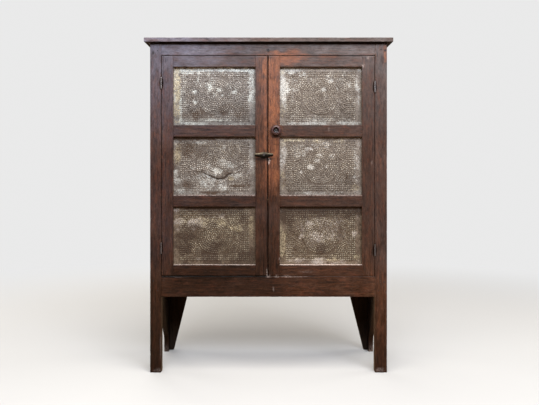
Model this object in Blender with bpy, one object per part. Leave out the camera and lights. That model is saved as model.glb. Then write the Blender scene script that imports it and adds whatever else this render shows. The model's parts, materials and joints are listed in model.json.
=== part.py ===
"""A pie safe: a pine food cupboard on tall feet, with two doors of punched-tin panels.

Metres, +Z up, the doors facing -Y. The origin is on the floor under the middle of the whole box.
"""

import math

import bpy
import bmesh
from mathutils import Vector

# Fit between pieces, and how far a cutting shape runs past the surface that it opens
GAP = 0.0003
OVERSHOOT = 0.002

# Case
CASE_WIDTH = 0.995
CASE_DEPTH = 0.410
CASE_BOTTOM = 0.318
TOP_WIDTH = 1.039
TOP_THICKNESS = 0.0175
TOP_HEIGHT = 1.403
TOP_FRONT_OVERHANG = 0.028
TOP_FRONT_BOARD = 0.218
BOARD_JOINT = 0.001
POST_WIDTH_LEFT = 0.0464
POST_WIDTH_RIGHT = 0.0504
POST_DEPTH = 0.046
RAIL_THICKNESS = 0.022
OPENING_BOTTOM = 0.404
OPENING_TOP = 1.332

# Side boards, and the slanted cut that leaves each rear foot
SIDE_THICKNESS = 0.021
SIDE_INSET = 0.010
SIDE_CUT_START = 0.100
SIDE_FOOT_KNEE = (0.352, 0.070)
SIDE_FOOT_TOE = 0.358
TONGUE_THICKNESS = 0.008
TONGUE_LENGTH = 0.008
TONGUE_ROOT = 0.004

# Back boards
BACK_THICKNESS = 0.015
BACK_BOARD_WIDTH = 0.245
BACK_BOTTOM = 0.330
BACK_FOOT_WIDTH = 0.0405
BACK_FOOT_SLOPE = 0.25
BACK_FOOT_CHAMFER = 0.006

# Floor, shelves and the cleats under them
FLOOR_THICKNESS = 0.020
SHELF_THICKNESS = 0.018
SHELF_SETBACK = 0.0245
SHELF_MIDDLES = {"lower": 0.7215, "upper": 1.0168}
CLEAT_SIZE = 0.020

# Doors
DOOR_THICKNESS = 0.022
DOOR_SIDE_GAP = 0.002
DOOR_END_GAP = 0.002
LEFT_DOOR_MEETING_EDGE = -0.004
RIGHT_DOOR_MEETING_EDGE = -0.0005
MEETING_STILE_LEFT = 0.051
MEETING_STILE_RIGHT = 0.048
PANEL_WIDTH = 0.3455
PANEL_HEIGHT = 0.2453
DOOR_BOTTOM_RAIL = 0.046
DOOR_MID_RAIL = 0.0485
TIN_THICKNESS = 0.0005
TIN_LAP = 0.006

# Tenons
TENON_THICKNESS = 0.008
TENON_LENGTH = 0.030
TENON_SHOULDER = 0.007
MORTISE_SPARE = 0.001

# Hinges: three knuckles on a pin, the leaves let into post and stile
HINGE_HEIGHT = 0.046
HINGE_PROUD = 0.0045
KNUCKLE_RADIUS = 0.004
KNUCKLE_BORE = 0.00215
PIN_RADIUS = 0.00185
PIN_TAIL = 0.002
PIN_HEAD_RADIUS = 0.003
PIN_HEAD_HEIGHT = 0.0015
LEAF_THICKNESS = 0.0015
LEAF_DEPTH = 0.020
LEAF_TAB_DEPTH = 0.0025
LEFT_HINGE_HEIGHTS = {"lower": 0.523, "upper": 1.216}
RIGHT_HINGE_HEIGHTS = {"lower": 0.514, "upper": 1.200}

# Knob on the right door
KNOB_RADIUS = 0.021
KNOB_PROJECTION = 0.031
KNOB_PLACE = (0.0317, 1.0176)

# Turn buttons: the outer one holds the right door, the inner one holds the left door
BUTTON_PLACE = (-0.0199, 0.9132)
BUTTON_HALF_LENGTH = 0.040
BUTTON_HALF_WIDTH = 0.0125
BUTTON_THICKNESS = 0.011
INSIDE_BUTTON_PLACE = (-0.120, 1.312)
INSIDE_BUTTON_LONG_ARM = 0.032
INSIDE_BUTTON_SHORT_ARM = 0.016
INSIDE_BUTTON_HALF_WIDTH = 0.009
INSIDE_BUTTON_THICKNESS = 0.010
INSIDE_BUTTON_CORNER = 0.005
BUTTON_CLEARANCE = 0.0004

# Screws that hold the knob and the buttons
SCREW_RADIUS = 0.002
SCREW_HOLE = 0.0023
SCREW_HEAD_RADIUS = 0.0044
SCREW_HEAD_HEIGHT = 0.0024
SCREW_BITE = 0.015
SCREW_POINT = 0.003

# Derived
Y_FRONT = (KNOB_PROJECTION - CASE_DEPTH) / 2
TOP_UNDERSIDE = TOP_HEIGHT - TOP_THICKNESS
CASE_TOP = TOP_UNDERSIDE - GAP
HALF_CASE = CASE_WIDTH / 2
LEFT_POST_FACE = -HALF_CASE + POST_WIDTH_LEFT
RIGHT_POST_FACE = HALF_CASE - POST_WIDTH_RIGHT
SIDE_OUTER = HALF_CASE - SIDE_INSET
SIDE_INNER = SIDE_OUTER - SIDE_THICKNESS
SIDE_BACK = CASE_DEPTH - BACK_THICKNESS - GAP
DOOR_BOTTOM = OPENING_BOTTOM + DOOR_END_GAP
DOOR_TOP = OPENING_TOP - DOOR_END_GAP
BOARD_END = SIDE_INNER - GAP

# Colour, roughness and metallic of each kind of stuff
OLD_FINISH = ((0.085, 0.045, 0.032, 1.0), 0.45, 0.0)
BARE_PINE = ((0.28, 0.16, 0.085, 1.0), 0.75, 0.0)
TURNED_WOOD = ((0.035, 0.022, 0.018, 1.0), 0.35, 0.0)
BUTTON_WOOD = ((0.075, 0.062, 0.042, 1.0), 0.5, 0.0)
TINPLATE = ((0.42, 0.41, 0.33, 1.0), 0.6, 0.35)
IRON = ((0.06, 0.045, 0.038, 1.0), 0.6, 0.7)


def clear_scene():
    for obj in list(bpy.data.objects):
        bpy.data.objects.remove(obj, do_unlink=True)


def finish_material(name, stuff):
    """A Principled material of its own for one piece."""
    colour, roughness, metallic = stuff
    material = bpy.data.materials.new(name)
    material.use_nodes = True
    shader = material.node_tree.nodes["Principled BSDF"]
    shader.inputs["Base Color"].default_value = colour
    shader.inputs["Roughness"].default_value = roughness
    shader.inputs["Metallic"].default_value = metallic
    return material


def world_place(obj):
    """Where an object under unturned parents stands."""
    place = Vector()
    while obj is not None:
        place += obj.location
        obj = obj.parent
    return place


def add_piece(name, mesh, at, stuff, parent=None):
    """Make the mesh a named object at a world position, under its parent, in its own material."""
    obj = bpy.data.objects.new(name, mesh)
    bpy.context.scene.collection.objects.link(obj)
    obj.parent = parent
    obj.location = Vector(at) - world_place(parent)
    if stuff is not None:
        mesh.materials.append(finish_material(name, stuff))
    return obj


def add_axis(name, at, parent=None):
    """An empty on a joint's axis, which carries the pieces that turn about it."""
    obj = bpy.data.objects.new(name, None)
    bpy.context.scene.collection.objects.link(obj)
    obj.empty_display_size = 0.03
    obj.parent = parent
    obj.location = Vector(at) - world_place(parent)
    return obj


def lofted_mesh(name, rings, closed=False):
    """A closed mesh through rings of equal count, capped at both ends unless it closes on itself."""
    bm = bmesh.new()
    loops = [[bm.verts.new(point) for point in ring] for ring in rings]
    pairs = list(zip(loops, loops[1:]))
    if closed:
        pairs.append((loops[-1], loops[0]))
    else:
        bm.faces.new(loops[0])
        bm.faces.new(loops[-1])
    for first, second in pairs:
        count = len(first)
        for i in range(count):
            j = (i + 1) % count
            bm.faces.new((first[i], first[j], second[j], second[i]))
    bmesh.ops.recalc_face_normals(bm, faces=bm.faces)
    mesh = bpy.data.meshes.new(name)
    bm.to_mesh(mesh)
    bm.free()
    return mesh


def rectangle(axis, at, low, high):
    """Four points of a rectangle square to an axis (0, 1 or 2), from its low to its high corner."""
    across, up = [i for i in range(3) if i != axis]
    points = []
    for first, second in ((low, low), (high, low), (high, high), (low, high)):
        point = [0.0, 0.0, 0.0]
        point[axis] = at
        point[across] = first[0]
        point[up] = second[1]
        points.append(point)
    return points


def box_mesh(name, size):
    half = [side / 2 for side in size]
    rings = [rectangle(2, z, (-half[0], -half[1]), (half[0], half[1])) for z in (-half[2], half[2])]
    return lofted_mesh(name, rings)


def add_box(name, low, high, stuff, parent=None):
    """A box between two world corners, its origin at its middle."""
    low, high = Vector(low), Vector(high)
    return add_piece(name, box_mesh(name, high - low), (low + high) / 2, stuff, parent)


def add_outline(name, outline, axis, start, end, stuff, parent=None):
    """A flat outline in the plane square to the axis, extruded from start to end along it."""
    across, up = [i for i in range(3) if i != axis]
    rings = []
    for at in (0.0, end - start):
        ring = []
        for first, second in outline:
            point = [0.0, 0.0, 0.0]
            point[axis] = at
            point[across] = first
            point[up] = second
            ring.append(point)
        rings.append(ring)
    place = [0.0, 0.0, 0.0]
    place[axis] = start
    return add_piece(name, lofted_mesh(name, rings), place, stuff, parent)


def circle(radius, at, axis, sides):
    """Points round an axis, at a place along it."""
    points = []
    for i in range(sides):
        angle = 2 * math.pi * (i + 0.5) / sides
        pair = (radius * math.cos(angle), radius * math.sin(angle))
        points.append((pair[0], at, pair[1]) if axis == 1 else (pair[0], pair[1], at))
    return points


def turned_mesh(name, profile, axis, sides, closed=False):
    """A turned solid: (radius, place) pairs along the axis. A closed profile leaves a bore."""
    mesh = lofted_mesh(name, [circle(radius, at, axis, sides) for radius, at in profile], closed)
    mesh.shade_smooth()
    mesh.set_sharp_from_angle(angle=math.radians(40))
    return mesh


def add_helper(name, mesh, at):
    """A cutting or joining shape, left out of the object itself."""
    obj = add_piece(name, mesh, at, None)
    obj.hide_render = True
    obj.display_type = "WIRE"
    return obj


def add_boolean(obj, helper, operation):
    modifier = obj.modifiers.new(helper.name, "BOOLEAN")
    modifier.operation = operation
    modifier.solver = "EXACT"
    modifier.object = helper


def cut_box(obj, name, low, high):
    low, high = Vector(low), Vector(high)
    helper = add_helper(f"{obj.name}_{name}", box_mesh(name, high - low), (low + high) / 2)
    add_boolean(obj, helper, "DIFFERENCE")


def drill(obj, name, place, start, end):
    """A screw hole along Y, through (x, z), between two depths."""
    mesh = turned_mesh(name, [(SCREW_HOLE, 0.0), (SCREW_HOLE, end - start)], 1, 16)
    helper = add_helper(f"{obj.name}_{name}", mesh, (place[0], start, place[1]))
    add_boolean(obj, helper, "DIFFERENCE")


def tenon_span(low, high):
    return low + TENON_SHOULDER, high - TENON_SHOULDER


def tenon_depths(thickness):
    middle = Y_FRONT + thickness / 2
    return middle - TENON_THICKNESS / 2, middle + TENON_THICKNESS / 2


def add_tenoned_rail(name, left, right, bottom, top, thickness, stuff, parent=None):
    """A level rail between two uprights, with a shouldered tenon at each end."""
    front, back = Y_FRONT, Y_FRONT + thickness
    inner_front, inner_back = tenon_depths(thickness)
    low, high = tenon_span(bottom, top)
    start, end = left + GAP, right - GAP
    middle = Vector(((start + end) / 2, (front + back) / 2, (bottom + top) / 2))
    stations = (
        (start - TENON_LENGTH, inner_front, inner_back, low, high),
        (start, inner_front, inner_back, low, high),
        (start, front, back, bottom, top),
        (end, front, back, bottom, top),
        (end, inner_front, inner_back, low, high),
        (end + TENON_LENGTH, inner_front, inner_back, low, high),
    )
    rings = []
    for x, near, far, floor, ceiling in stations:
        corners = rectangle(0, x, (near, floor), (far, ceiling))
        rings.append([Vector(corner) - middle for corner in corners])
    return add_piece(name, lofted_mesh(name, rings), middle, stuff, parent)


def cut_mortise(upright, name, face, inward, bottom, top, thickness):
    """The pocket for a rail's tenon, open at the upright's face and running inward (-1 or 1)."""
    near, far = tenon_depths(thickness)
    low, high = tenon_span(bottom, top)
    ends = sorted((face - inward * OVERSHOOT, face + inward * (TENON_LENGTH + MORTISE_SPARE)))
    cut_box(upright, name, (ends[0], near - GAP, low - GAP), (ends[1], far + GAP, high + GAP))


def cut_hinge_gain(upright, name, face, inward, height):
    """The shallow pocket that a hinge leaf is let into, open at the front and at the face."""
    axis_to_face = DOOR_SIDE_GAP / 2
    depth = LEAF_THICKNESS + GAP + GAP - axis_to_face
    ends = sorted((face - inward * OVERSHOOT, face + inward * depth))
    half = HINGE_HEIGHT / 2 + GAP
    cut_box(
        upright,
        name,
        (ends[0], Y_FRONT - OVERSHOOT, height - half),
        (ends[1], Y_FRONT + LEAF_DEPTH + GAP, height + half),
    )


# The case


def add_top():
    half = TOP_WIDTH / 2
    joint = Y_FRONT - TOP_FRONT_OVERHANG + TOP_FRONT_BOARD
    spans = {
        "top_board_front": (Y_FRONT - TOP_FRONT_OVERHANG, joint),
        "top_board_rear": (joint + BOARD_JOINT, Y_FRONT + CASE_DEPTH),
    }
    for name, (near, far) in spans.items():
        add_box(name, (-half, near, TOP_UNDERSIDE), (half, far, TOP_HEIGHT), OLD_FINISH)


def add_post(side):
    """A square front post, grooved behind for the side board and mortised for the two rails."""
    outer = side * HALF_CASE
    face = LEFT_POST_FACE if side < 0 else RIGHT_POST_FACE
    name = "front_post_left" if side < 0 else "front_post_right"
    ends = sorted((outer, face))
    post = add_box(
        name, (ends[0], Y_FRONT, 0.0), (ends[1], Y_FRONT + POST_DEPTH, CASE_TOP), OLD_FINISH
    )
    middle = side * (SIDE_OUTER - SIDE_THICKNESS / 2)
    tongue = (middle - TONGUE_THICKNESS / 2, middle + TONGUE_THICKNESS / 2)
    cut_box(
        post,
        "groove",
        (tongue[0] - GAP, Y_FRONT + POST_DEPTH - TONGUE_LENGTH - GAP, CASE_BOTTOM - GAP),
        (tongue[1] + GAP, Y_FRONT + POST_DEPTH + OVERSHOOT, CASE_TOP + OVERSHOOT),
    )
    cut_mortise(post, "bottom_mortise", face, side, CASE_BOTTOM, OPENING_BOTTOM, RAIL_THICKNESS)
    cut_mortise(post, "top_mortise", face, side, OPENING_TOP, CASE_TOP, RAIL_THICKNESS)
    heights = LEFT_HINGE_HEIGHTS if side < 0 else RIGHT_HINGE_HEIGHTS
    for level, height in heights.items():
        cut_hinge_gain(post, f"{level}_gain", face, side, height)


def add_side_board(side):
    """A wide side board, tongued into the post and cut away below to leave the rear foot."""
    name = "side_board_left" if side < 0 else "side_board_right"
    front = Y_FRONT + POST_DEPTH + GAP
    knee_depth, knee_height = SIDE_FOOT_KNEE
    outline = (
        (front, CASE_BOTTOM),
        (Y_FRONT + SIDE_CUT_START, CASE_BOTTOM),
        (Y_FRONT + knee_depth, knee_height),
        (Y_FRONT + SIDE_FOOT_TOE, 0.0),
        (Y_FRONT + SIDE_BACK, 0.0),
        (Y_FRONT + SIDE_BACK, CASE_TOP),
        (front, CASE_TOP),
    )
    ends = sorted((side * SIDE_INNER, side * SIDE_OUTER))
    board = add_outline(name, outline, 0, ends[0], ends[1], OLD_FINISH)
    middle = side * (SIDE_OUTER - SIDE_THICKNESS / 2)
    size = (TONGUE_THICKNESS, TONGUE_LENGTH + TONGUE_ROOT, CASE_TOP - CASE_BOTTOM - 2 * GAP)
    at = (middle, front - TONGUE_LENGTH + size[1] / 2, (CASE_TOP + CASE_BOTTOM) / 2)
    add_boolean(board, add_helper(f"{name}_tongue", box_mesh("tongue", size), at), "UNION")


def add_case_rails():
    spans = {"case_top_rail": (OPENING_TOP, CASE_TOP), "case_bottom_rail": (CASE_BOTTOM, OPENING_BOTTOM)}
    for name, (bottom, top) in spans.items():
        add_tenoned_rail(
            name, LEFT_POST_FACE, RIGHT_POST_FACE, bottom, top, RAIL_THICKNESS, OLD_FINISH
        )


def add_back():
    """Four upright back boards; the outer two run down into tapered feet."""
    near = Y_FRONT + CASE_DEPTH - BACK_THICKNESS
    far = Y_FRONT + CASE_DEPTH
    inner = SIDE_OUTER - BACK_BOARD_WIDTH
    toe = SIDE_OUTER - BACK_FOOT_WIDTH
    for side, name in ((-1, "back_board_left"), (1, "back_board_right")):
        outline = (
            (side * SIDE_OUTER, 0.0),
            (side * (toe + BACK_FOOT_CHAMFER), 0.0),
            (side * toe, BACK_FOOT_CHAMFER),
            (side * (toe - BACK_FOOT_SLOPE * BACK_BOTTOM), BACK_BOTTOM),
            (side * inner, BACK_BOTTOM),
            (side * inner, CASE_TOP),
            (side * SIDE_OUTER, CASE_TOP),
        )
        add_outline(name, outline, 1, near, far, OLD_FINISH)
    for side, name in ((-1, "back_board_middle_left"), (1, "back_board_middle_right")):
        ends = sorted((side * BOARD_JOINT / 2, side * (inner - BOARD_JOINT)))
        add_box(name, (ends[0], near, BACK_BOTTOM), (ends[1], far, CASE_TOP), OLD_FINISH)


def add_level_board(name, front, top, thickness):
    """A floor or shelf, notched at its front corners round the posts."""
    near, far = Y_FRONT + front, Y_FRONT + SIDE_BACK
    behind_post = Y_FRONT + POST_DEPTH + GAP
    outline = (
        (LEFT_POST_FACE + GAP, near),
        (RIGHT_POST_FACE - GAP, near),
        (RIGHT_POST_FACE - GAP, behind_post),
        (BOARD_END, behind_post),
        (BOARD_END, far),
        (-BOARD_END, far),
        (-BOARD_END, behind_post),
        (LEFT_POST_FACE + GAP, behind_post),
    )
    add_outline(name, outline, 2, top - thickness, top, BARE_PINE)
    for side, hand in ((-1, "left"), (1, "right")):
        ends = sorted((side * BOARD_END, side * (BOARD_END - CLEAT_SIZE)))
        cleat_top = top - thickness - GAP
        add_box(
            f"{name}_cleat_{hand}",
            (ends[0], behind_post, cleat_top - CLEAT_SIZE),
            (ends[1], Y_FRONT + SIDE_BACK - GAP, cleat_top),
            BARE_PINE,
        )


def add_inside():
    add_level_board("case_floor", RAIL_THICKNESS + GAP, OPENING_BOTTOM, FLOOR_THICKNESS)
    for level, middle in SHELF_MIDDLES.items():
        add_level_board(f"{level}_shelf", SHELF_SETBACK, middle + SHELF_THICKNESS / 2, SHELF_THICKNESS)


# The doors


def door_levels():
    """Bottom and top of each door rail, from the lowest up."""
    levels = {"bottom_rail": (DOOR_BOTTOM, DOOR_BOTTOM + DOOR_BOTTOM_RAIL)}
    below = levels["bottom_rail"][1]
    for name in ("lower_rail", "upper_rail"):
        levels[name] = (below + PANEL_HEIGHT, below + PANEL_HEIGHT + DOOR_MID_RAIL)
        below = levels[name][1]
    levels["top_rail"] = (below + PANEL_HEIGHT, DOOR_TOP)
    return levels


def add_door(side, axis):
    """Two stiles, four rails and three tins. The stiles stand on either side of the panels."""
    hand = "left" if side < 0 else "right"
    hinge_edge = LEFT_POST_FACE + DOOR_SIDE_GAP if side < 0 else RIGHT_POST_FACE - DOOR_SIDE_GAP
    meeting_edge = LEFT_DOOR_MEETING_EDGE if side < 0 else RIGHT_DOOR_MEETING_EDGE
    meeting_width = MEETING_STILE_LEFT if side < 0 else MEETING_STILE_RIGHT
    meeting_face = meeting_edge + side * meeting_width
    hinge_face = meeting_face + side * PANEL_WIDTH
    back = Y_FRONT + DOOR_THICKNESS
    levels = door_levels()
    pieces = {}
    heights = LEFT_HINGE_HEIGHTS if side < 0 else RIGHT_HINGE_HEIGHTS
    stiles = {
        "hinge_stile": (hinge_edge, hinge_face, side),
        "meeting_stile": (meeting_edge, meeting_face, -side),
    }
    for name, (edge, face, inward) in stiles.items():
        ends = sorted((edge, face))
        stile = add_box(
            f"{hand}_door_{name}",
            (ends[0], Y_FRONT, DOOR_BOTTOM),
            (ends[1], back, DOOR_TOP),
            OLD_FINISH,
            axis,
        )
        for rail, (bottom, top) in levels.items():
            cut_mortise(stile, f"{rail}_mortise", face, inward, bottom, top, DOOR_THICKNESS)
        pieces[name] = stile
    for level, height in heights.items():
        cut_hinge_gain(pieces["hinge_stile"], f"{level}_gain", hinge_edge, -side, height)
    left, right = sorted((hinge_face, meeting_face))
    for rail, (bottom, top) in levels.items():
        pieces[rail] = add_tenoned_rail(
            f"{hand}_door_{rail}", left, right, bottom, top, DOOR_THICKNESS, OLD_FINISH, axis
        )
    tops = [top for _, top in levels.values()]
    for name, bottom in zip(("lower_tin", "middle_tin", "upper_tin"), tops):
        add_box(
            f"{hand}_door_{name}",
            (left - TIN_LAP, back + GAP, bottom - TIN_LAP),
            (right + TIN_LAP, back + GAP + TIN_THICKNESS, bottom + PANEL_HEIGHT + TIN_LAP),
            TINPLATE,
            axis,
        )
    return pieces


# The hinges


def knuckle_spans(height):
    """Bottom and top of the three knuckles: the outer two on the post, the middle one on the door."""
    third = HINGE_HEIGHT / 3
    low = height - HINGE_HEIGHT / 2
    return [(low + i * third + GAP / 2, low + (i + 1) * third - GAP / 2) for i in range(3)]


def add_leaf(name, axis_x, height, toward, spans, parent):
    """A hinge leaf: its plate lies toward its own side of the axis and carries the given knuckles."""
    axis_y = Y_FRONT - HINGE_PROUD
    low, high = height - HINGE_HEIGHT / 2, height + HINGE_HEIGHT / 2
    plate_start = axis_y + KNUCKLE_RADIUS + GAP
    ends = sorted((axis_x + toward * GAP, axis_x + toward * (GAP + LEAF_THICKNESS)))
    leaf = add_box(
        name, (ends[0], plate_start, low), (ends[1], Y_FRONT + LEAF_DEPTH, high), IRON, parent
    )
    for i, (bottom, top) in enumerate(spans):
        size = (LEAF_THICKNESS, LEAF_TAB_DEPTH, top - bottom)
        tab_middle = plate_start + 2 * GAP - LEAF_TAB_DEPTH / 2
        at = (sum(ends) / 2, tab_middle, (bottom + top) / 2)
        tab = add_helper(f"{name}_tab_{i}", box_mesh("tab", size), at)
        add_boolean(leaf, tab, "UNION")
        ring = ((KNUCKLE_BORE, 0.0), (KNUCKLE_RADIUS, 0.0), (KNUCKLE_RADIUS, top - bottom))
        profile = ring + ((KNUCKLE_BORE, top - bottom),)
        mesh = turned_mesh("knuckle", profile, 2, 20, closed=True)
        knuckle = add_helper(f"{name}_knuckle_{i}", mesh, (axis_x, axis_y, bottom))
        add_boolean(leaf, knuckle, "UNION")


def add_hinge(side, level, height, door_axis):
    hand = "left" if side < 0 else "right"
    axis_x, axis_y = door_axis.location.x, door_axis.location.y
    lower, middle, upper = knuckle_spans(height)
    name = f"{hand}_{level}_hinge"
    add_leaf(f"{name}_post_leaf", axis_x, height, side, (lower, upper), None)
    add_leaf(f"{name}_door_leaf", axis_x, height, -side, (middle,), door_axis)
    half = HINGE_HEIGHT / 2
    profile = (
        (PIN_RADIUS * 0.6, -half - PIN_TAIL),
        (PIN_RADIUS, -half - PIN_TAIL / 2),
        (PIN_RADIUS, half + GAP),
        (PIN_HEAD_RADIUS, half + GAP),
        (PIN_HEAD_RADIUS, half + GAP + PIN_HEAD_HEIGHT * 0.5),
        (PIN_HEAD_RADIUS * 0.6, half + GAP + PIN_HEAD_HEIGHT),
    )
    mesh = turned_mesh(name, profile, 2, 16)
    add_piece(f"{name}_pin", mesh, (axis_x, axis_y, height), IRON)


# The knob and the turn buttons


def add_screw(name, place, head_seat, toward, bite_end, parent):
    """A round-headed screw along Y: its head stands off its seat, its shank runs to bite_end."""
    tip = bite_end - head_seat
    start = toward * GAP
    top = toward * (GAP + SCREW_HEAD_HEIGHT)
    profile = (
        (SCREW_RADIUS * 0.4, tip),
        (SCREW_RADIUS, tip + toward * SCREW_POINT),
        (SCREW_RADIUS, start),
        (SCREW_HEAD_RADIUS, start),
        (SCREW_HEAD_RADIUS * 0.9, start + (top - start) * 0.55),
        (SCREW_HEAD_RADIUS * 0.5, top),
    )
    mesh = turned_mesh(name, profile, 1, 16)
    add_piece(name, mesh, (place[0], head_seat, place[1]), IRON, parent)


def add_knob(parent):
    """A turned knob with a raised rim round a dished face, bored for its screw."""
    r, out = KNOB_RADIUS, KNOB_PROJECTION
    dish = out * 0.80
    profile = (
        (SCREW_HOLE, 0.0),
        (r * 0.62, 0.0),
        (r * 0.52, -out * 0.16),
        (r * 0.58, -out * 0.32),
        (r * 0.86, -out * 0.48),
        (r, -out * 0.66),
        (r * 0.97, -out * 0.84),
        (r * 0.87, -out * 0.96),
        (r * 0.78, -out),
        (r * 0.66, -out * 0.93),
        (r * 0.45, -out * 0.84),
        (r * 0.28, -dish),
        (SCREW_HOLE, -dish),
    )
    profile = [(radius, at - (GAP if at == 0.0 else 0.0)) for radius, at in profile]
    mesh = turned_mesh("knob", profile, 1, 32, closed=True)
    add_piece("knob", mesh, (KNOB_PLACE[0], Y_FRONT, KNOB_PLACE[1]), TURNED_WOOD, parent)
    add_screw("knob_screw", KNOB_PLACE, Y_FRONT - dish, -1, Y_FRONT + SCREW_BITE, parent)


def spindle_rings(stations, half_width, thickness, direction):
    """Sections of a button along X: flat behind, with a ridge along the middle of its face."""
    rings = []
    for x, spread in stations:
        half = half_width * spread
        edge = direction * thickness * (0.35 + 0.25 * spread)
        ridge = direction * thickness * (0.55 + 0.45 * spread)
        rings.append(
            [(x, 0.0, -half), (x, 0.0, half), (x, edge, half), (x, ridge, 0.0), (x, edge, -half)]
        )
    return rings


def add_turn_button(axis):
    """The outer button: a long lozenge with rounded ends, turning on a screw."""
    count = 12
    stations = []
    for i in range(count + 1):
        t = -1 + 2 * i / count
        stations.append((t * BUTTON_HALF_LENGTH, 0.42 + 0.58 * math.cos(t * math.pi / 2) ** 0.8))
    rings = spindle_rings(stations, BUTTON_HALF_WIDTH, BUTTON_THICKNESS, -1)
    face = Y_FRONT - BUTTON_CLEARANCE
    at = (BUTTON_PLACE[0], face, BUTTON_PLACE[1])
    button = add_piece("turn_button", lofted_mesh("turn_button", rings), at, BUTTON_WOOD, axis)
    drill(
        button, "screw_hole", BUTTON_PLACE, face - BUTTON_THICKNESS - OVERSHOOT, face + OVERSHOOT
    )
    add_screw(
        "turn_button_screw", BUTTON_PLACE, face - BUTTON_THICKNESS, -1, Y_FRONT + SCREW_BITE, axis
    )


def add_inside_button(axis):
    """The inner button: a short block whose long arm turns up behind the case's top rail."""
    long_arm, short_arm = INSIDE_BUTTON_LONG_ARM, INSIDE_BUTTON_SHORT_ARM
    stations = (
        (-short_arm, 0.5),
        (-short_arm + INSIDE_BUTTON_CORNER, 1.0),
        (long_arm - INSIDE_BUTTON_CORNER, 1.0),
        (long_arm, 0.5),
    )
    rings = spindle_rings(stations, INSIDE_BUTTON_HALF_WIDTH, INSIDE_BUTTON_THICKNESS, 1)
    face = Y_FRONT + DOOR_THICKNESS + BUTTON_CLEARANCE
    at = (INSIDE_BUTTON_PLACE[0], face, INSIDE_BUTTON_PLACE[1])
    mesh = lofted_mesh("inside_button", rings)
    button = add_piece("inside_button", mesh, at, BARE_PINE, axis)
    far = face + INSIDE_BUTTON_THICKNESS
    drill(button, "screw_hole", INSIDE_BUTTON_PLACE, face - OVERSHOOT, far + OVERSHOOT)
    tip = Y_FRONT + DOOR_THICKNESS - SCREW_BITE
    add_screw("inside_button_screw", INSIDE_BUTTON_PLACE, far, 1, tip, axis)


def build():
    clear_scene()
    add_top()
    for side in (-1, 1):
        add_post(side)
        add_side_board(side)
    add_case_rails()
    add_back()
    add_inside()

    axis_y = Y_FRONT - HINGE_PROUD
    left_axis = add_axis("left_door_axis", (LEFT_POST_FACE + DOOR_SIDE_GAP / 2, axis_y, DOOR_BOTTOM))
    right_axis = add_axis("right_door_axis", (RIGHT_POST_FACE - DOOR_SIDE_GAP / 2, axis_y, DOOR_BOTTOM))
    left_door = add_door(-1, left_axis)
    right_door = add_door(1, right_axis)
    for level, height in LEFT_HINGE_HEIGHTS.items():
        add_hinge(-1, level, height, left_axis)
    for level, height in RIGHT_HINGE_HEIGHTS.items():
        add_hinge(1, level, height, right_axis)

    hole_end = Y_FRONT + SCREW_BITE + GAP
    for name in ("meeting_stile", "upper_rail"):
        drill(right_door[name], "knob_hole", KNOB_PLACE, Y_FRONT - OVERSHOOT, hole_end)
    drill(left_door["meeting_stile"], "button_hole", BUTTON_PLACE, Y_FRONT - OVERSHOOT, hole_end)
    back = Y_FRONT + DOOR_THICKNESS
    drill(
        left_door["top_rail"],
        "button_hole",
        INSIDE_BUTTON_PLACE,
        back - SCREW_BITE - GAP,
        back + OVERSHOOT,
    )
    add_knob(right_axis)
    button_at = (BUTTON_PLACE[0], Y_FRONT, BUTTON_PLACE[1])
    add_turn_button(add_axis("turn_button_axis", button_at, left_axis))
    inside_at = (INSIDE_BUTTON_PLACE[0], Y_FRONT + DOOR_THICKNESS, INSIDE_BUTTON_PLACE[1])
    add_inside_button(add_axis("inside_button_axis", inside_at, left_axis))


build()
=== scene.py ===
import json
import math

import bpy
import numpy as np
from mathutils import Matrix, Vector, geometry

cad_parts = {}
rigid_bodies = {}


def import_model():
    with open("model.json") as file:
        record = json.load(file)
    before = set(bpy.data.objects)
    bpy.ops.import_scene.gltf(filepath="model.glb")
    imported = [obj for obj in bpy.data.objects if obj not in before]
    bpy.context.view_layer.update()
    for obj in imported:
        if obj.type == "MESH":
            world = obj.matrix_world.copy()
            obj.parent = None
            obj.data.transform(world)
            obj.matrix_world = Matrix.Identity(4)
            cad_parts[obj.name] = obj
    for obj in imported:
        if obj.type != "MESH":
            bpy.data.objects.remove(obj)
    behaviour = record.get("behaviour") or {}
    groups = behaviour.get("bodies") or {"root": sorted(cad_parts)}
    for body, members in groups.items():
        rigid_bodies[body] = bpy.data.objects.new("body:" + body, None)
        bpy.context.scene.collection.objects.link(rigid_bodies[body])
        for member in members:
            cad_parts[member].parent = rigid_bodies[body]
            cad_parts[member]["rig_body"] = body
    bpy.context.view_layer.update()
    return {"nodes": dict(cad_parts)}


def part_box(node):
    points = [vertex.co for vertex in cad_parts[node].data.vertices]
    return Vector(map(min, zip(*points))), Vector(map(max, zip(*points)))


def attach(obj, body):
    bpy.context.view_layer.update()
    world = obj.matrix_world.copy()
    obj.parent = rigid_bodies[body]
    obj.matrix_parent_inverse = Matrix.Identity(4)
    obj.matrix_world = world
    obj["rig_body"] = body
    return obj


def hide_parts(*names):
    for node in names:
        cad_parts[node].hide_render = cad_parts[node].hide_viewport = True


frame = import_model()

NODES = frame["nodes"]
X, Y, Z = 0, 1, 2
SIDES = ("left", "right")
LEVELS = ("case_floor", "lower_shelf", "upper_shelf")
SEAM = 0.00015            # joint line left between two boards that meet


def box(node):
    """A node's low and high corners."""
    return tuple(np.array(corner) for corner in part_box(node))


FRONT = box("front_post_left")[0][Y]
POST_INNER = (box("front_post_left")[1][X], box("front_post_right")[0][X])
POST_BACK = box("front_post_left")[1][Y]
BACK = box("back_board_left")[1][Y]
TOP_JOINT = box("top_board_rear")[0][Y]
CASE_FOOT = 0.386         # height of the case's underside, behind its bottom rail
DOOR_TOP, DOOR_FOOT = 1.3335, 0.4040     # middle heights of the gaps above and below the doors
MEETING = -0.004          # x of the gap between the doors
NAIL_HEIGHTS = (0.394, 0.7215, 1.0168, 1.372)


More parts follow.
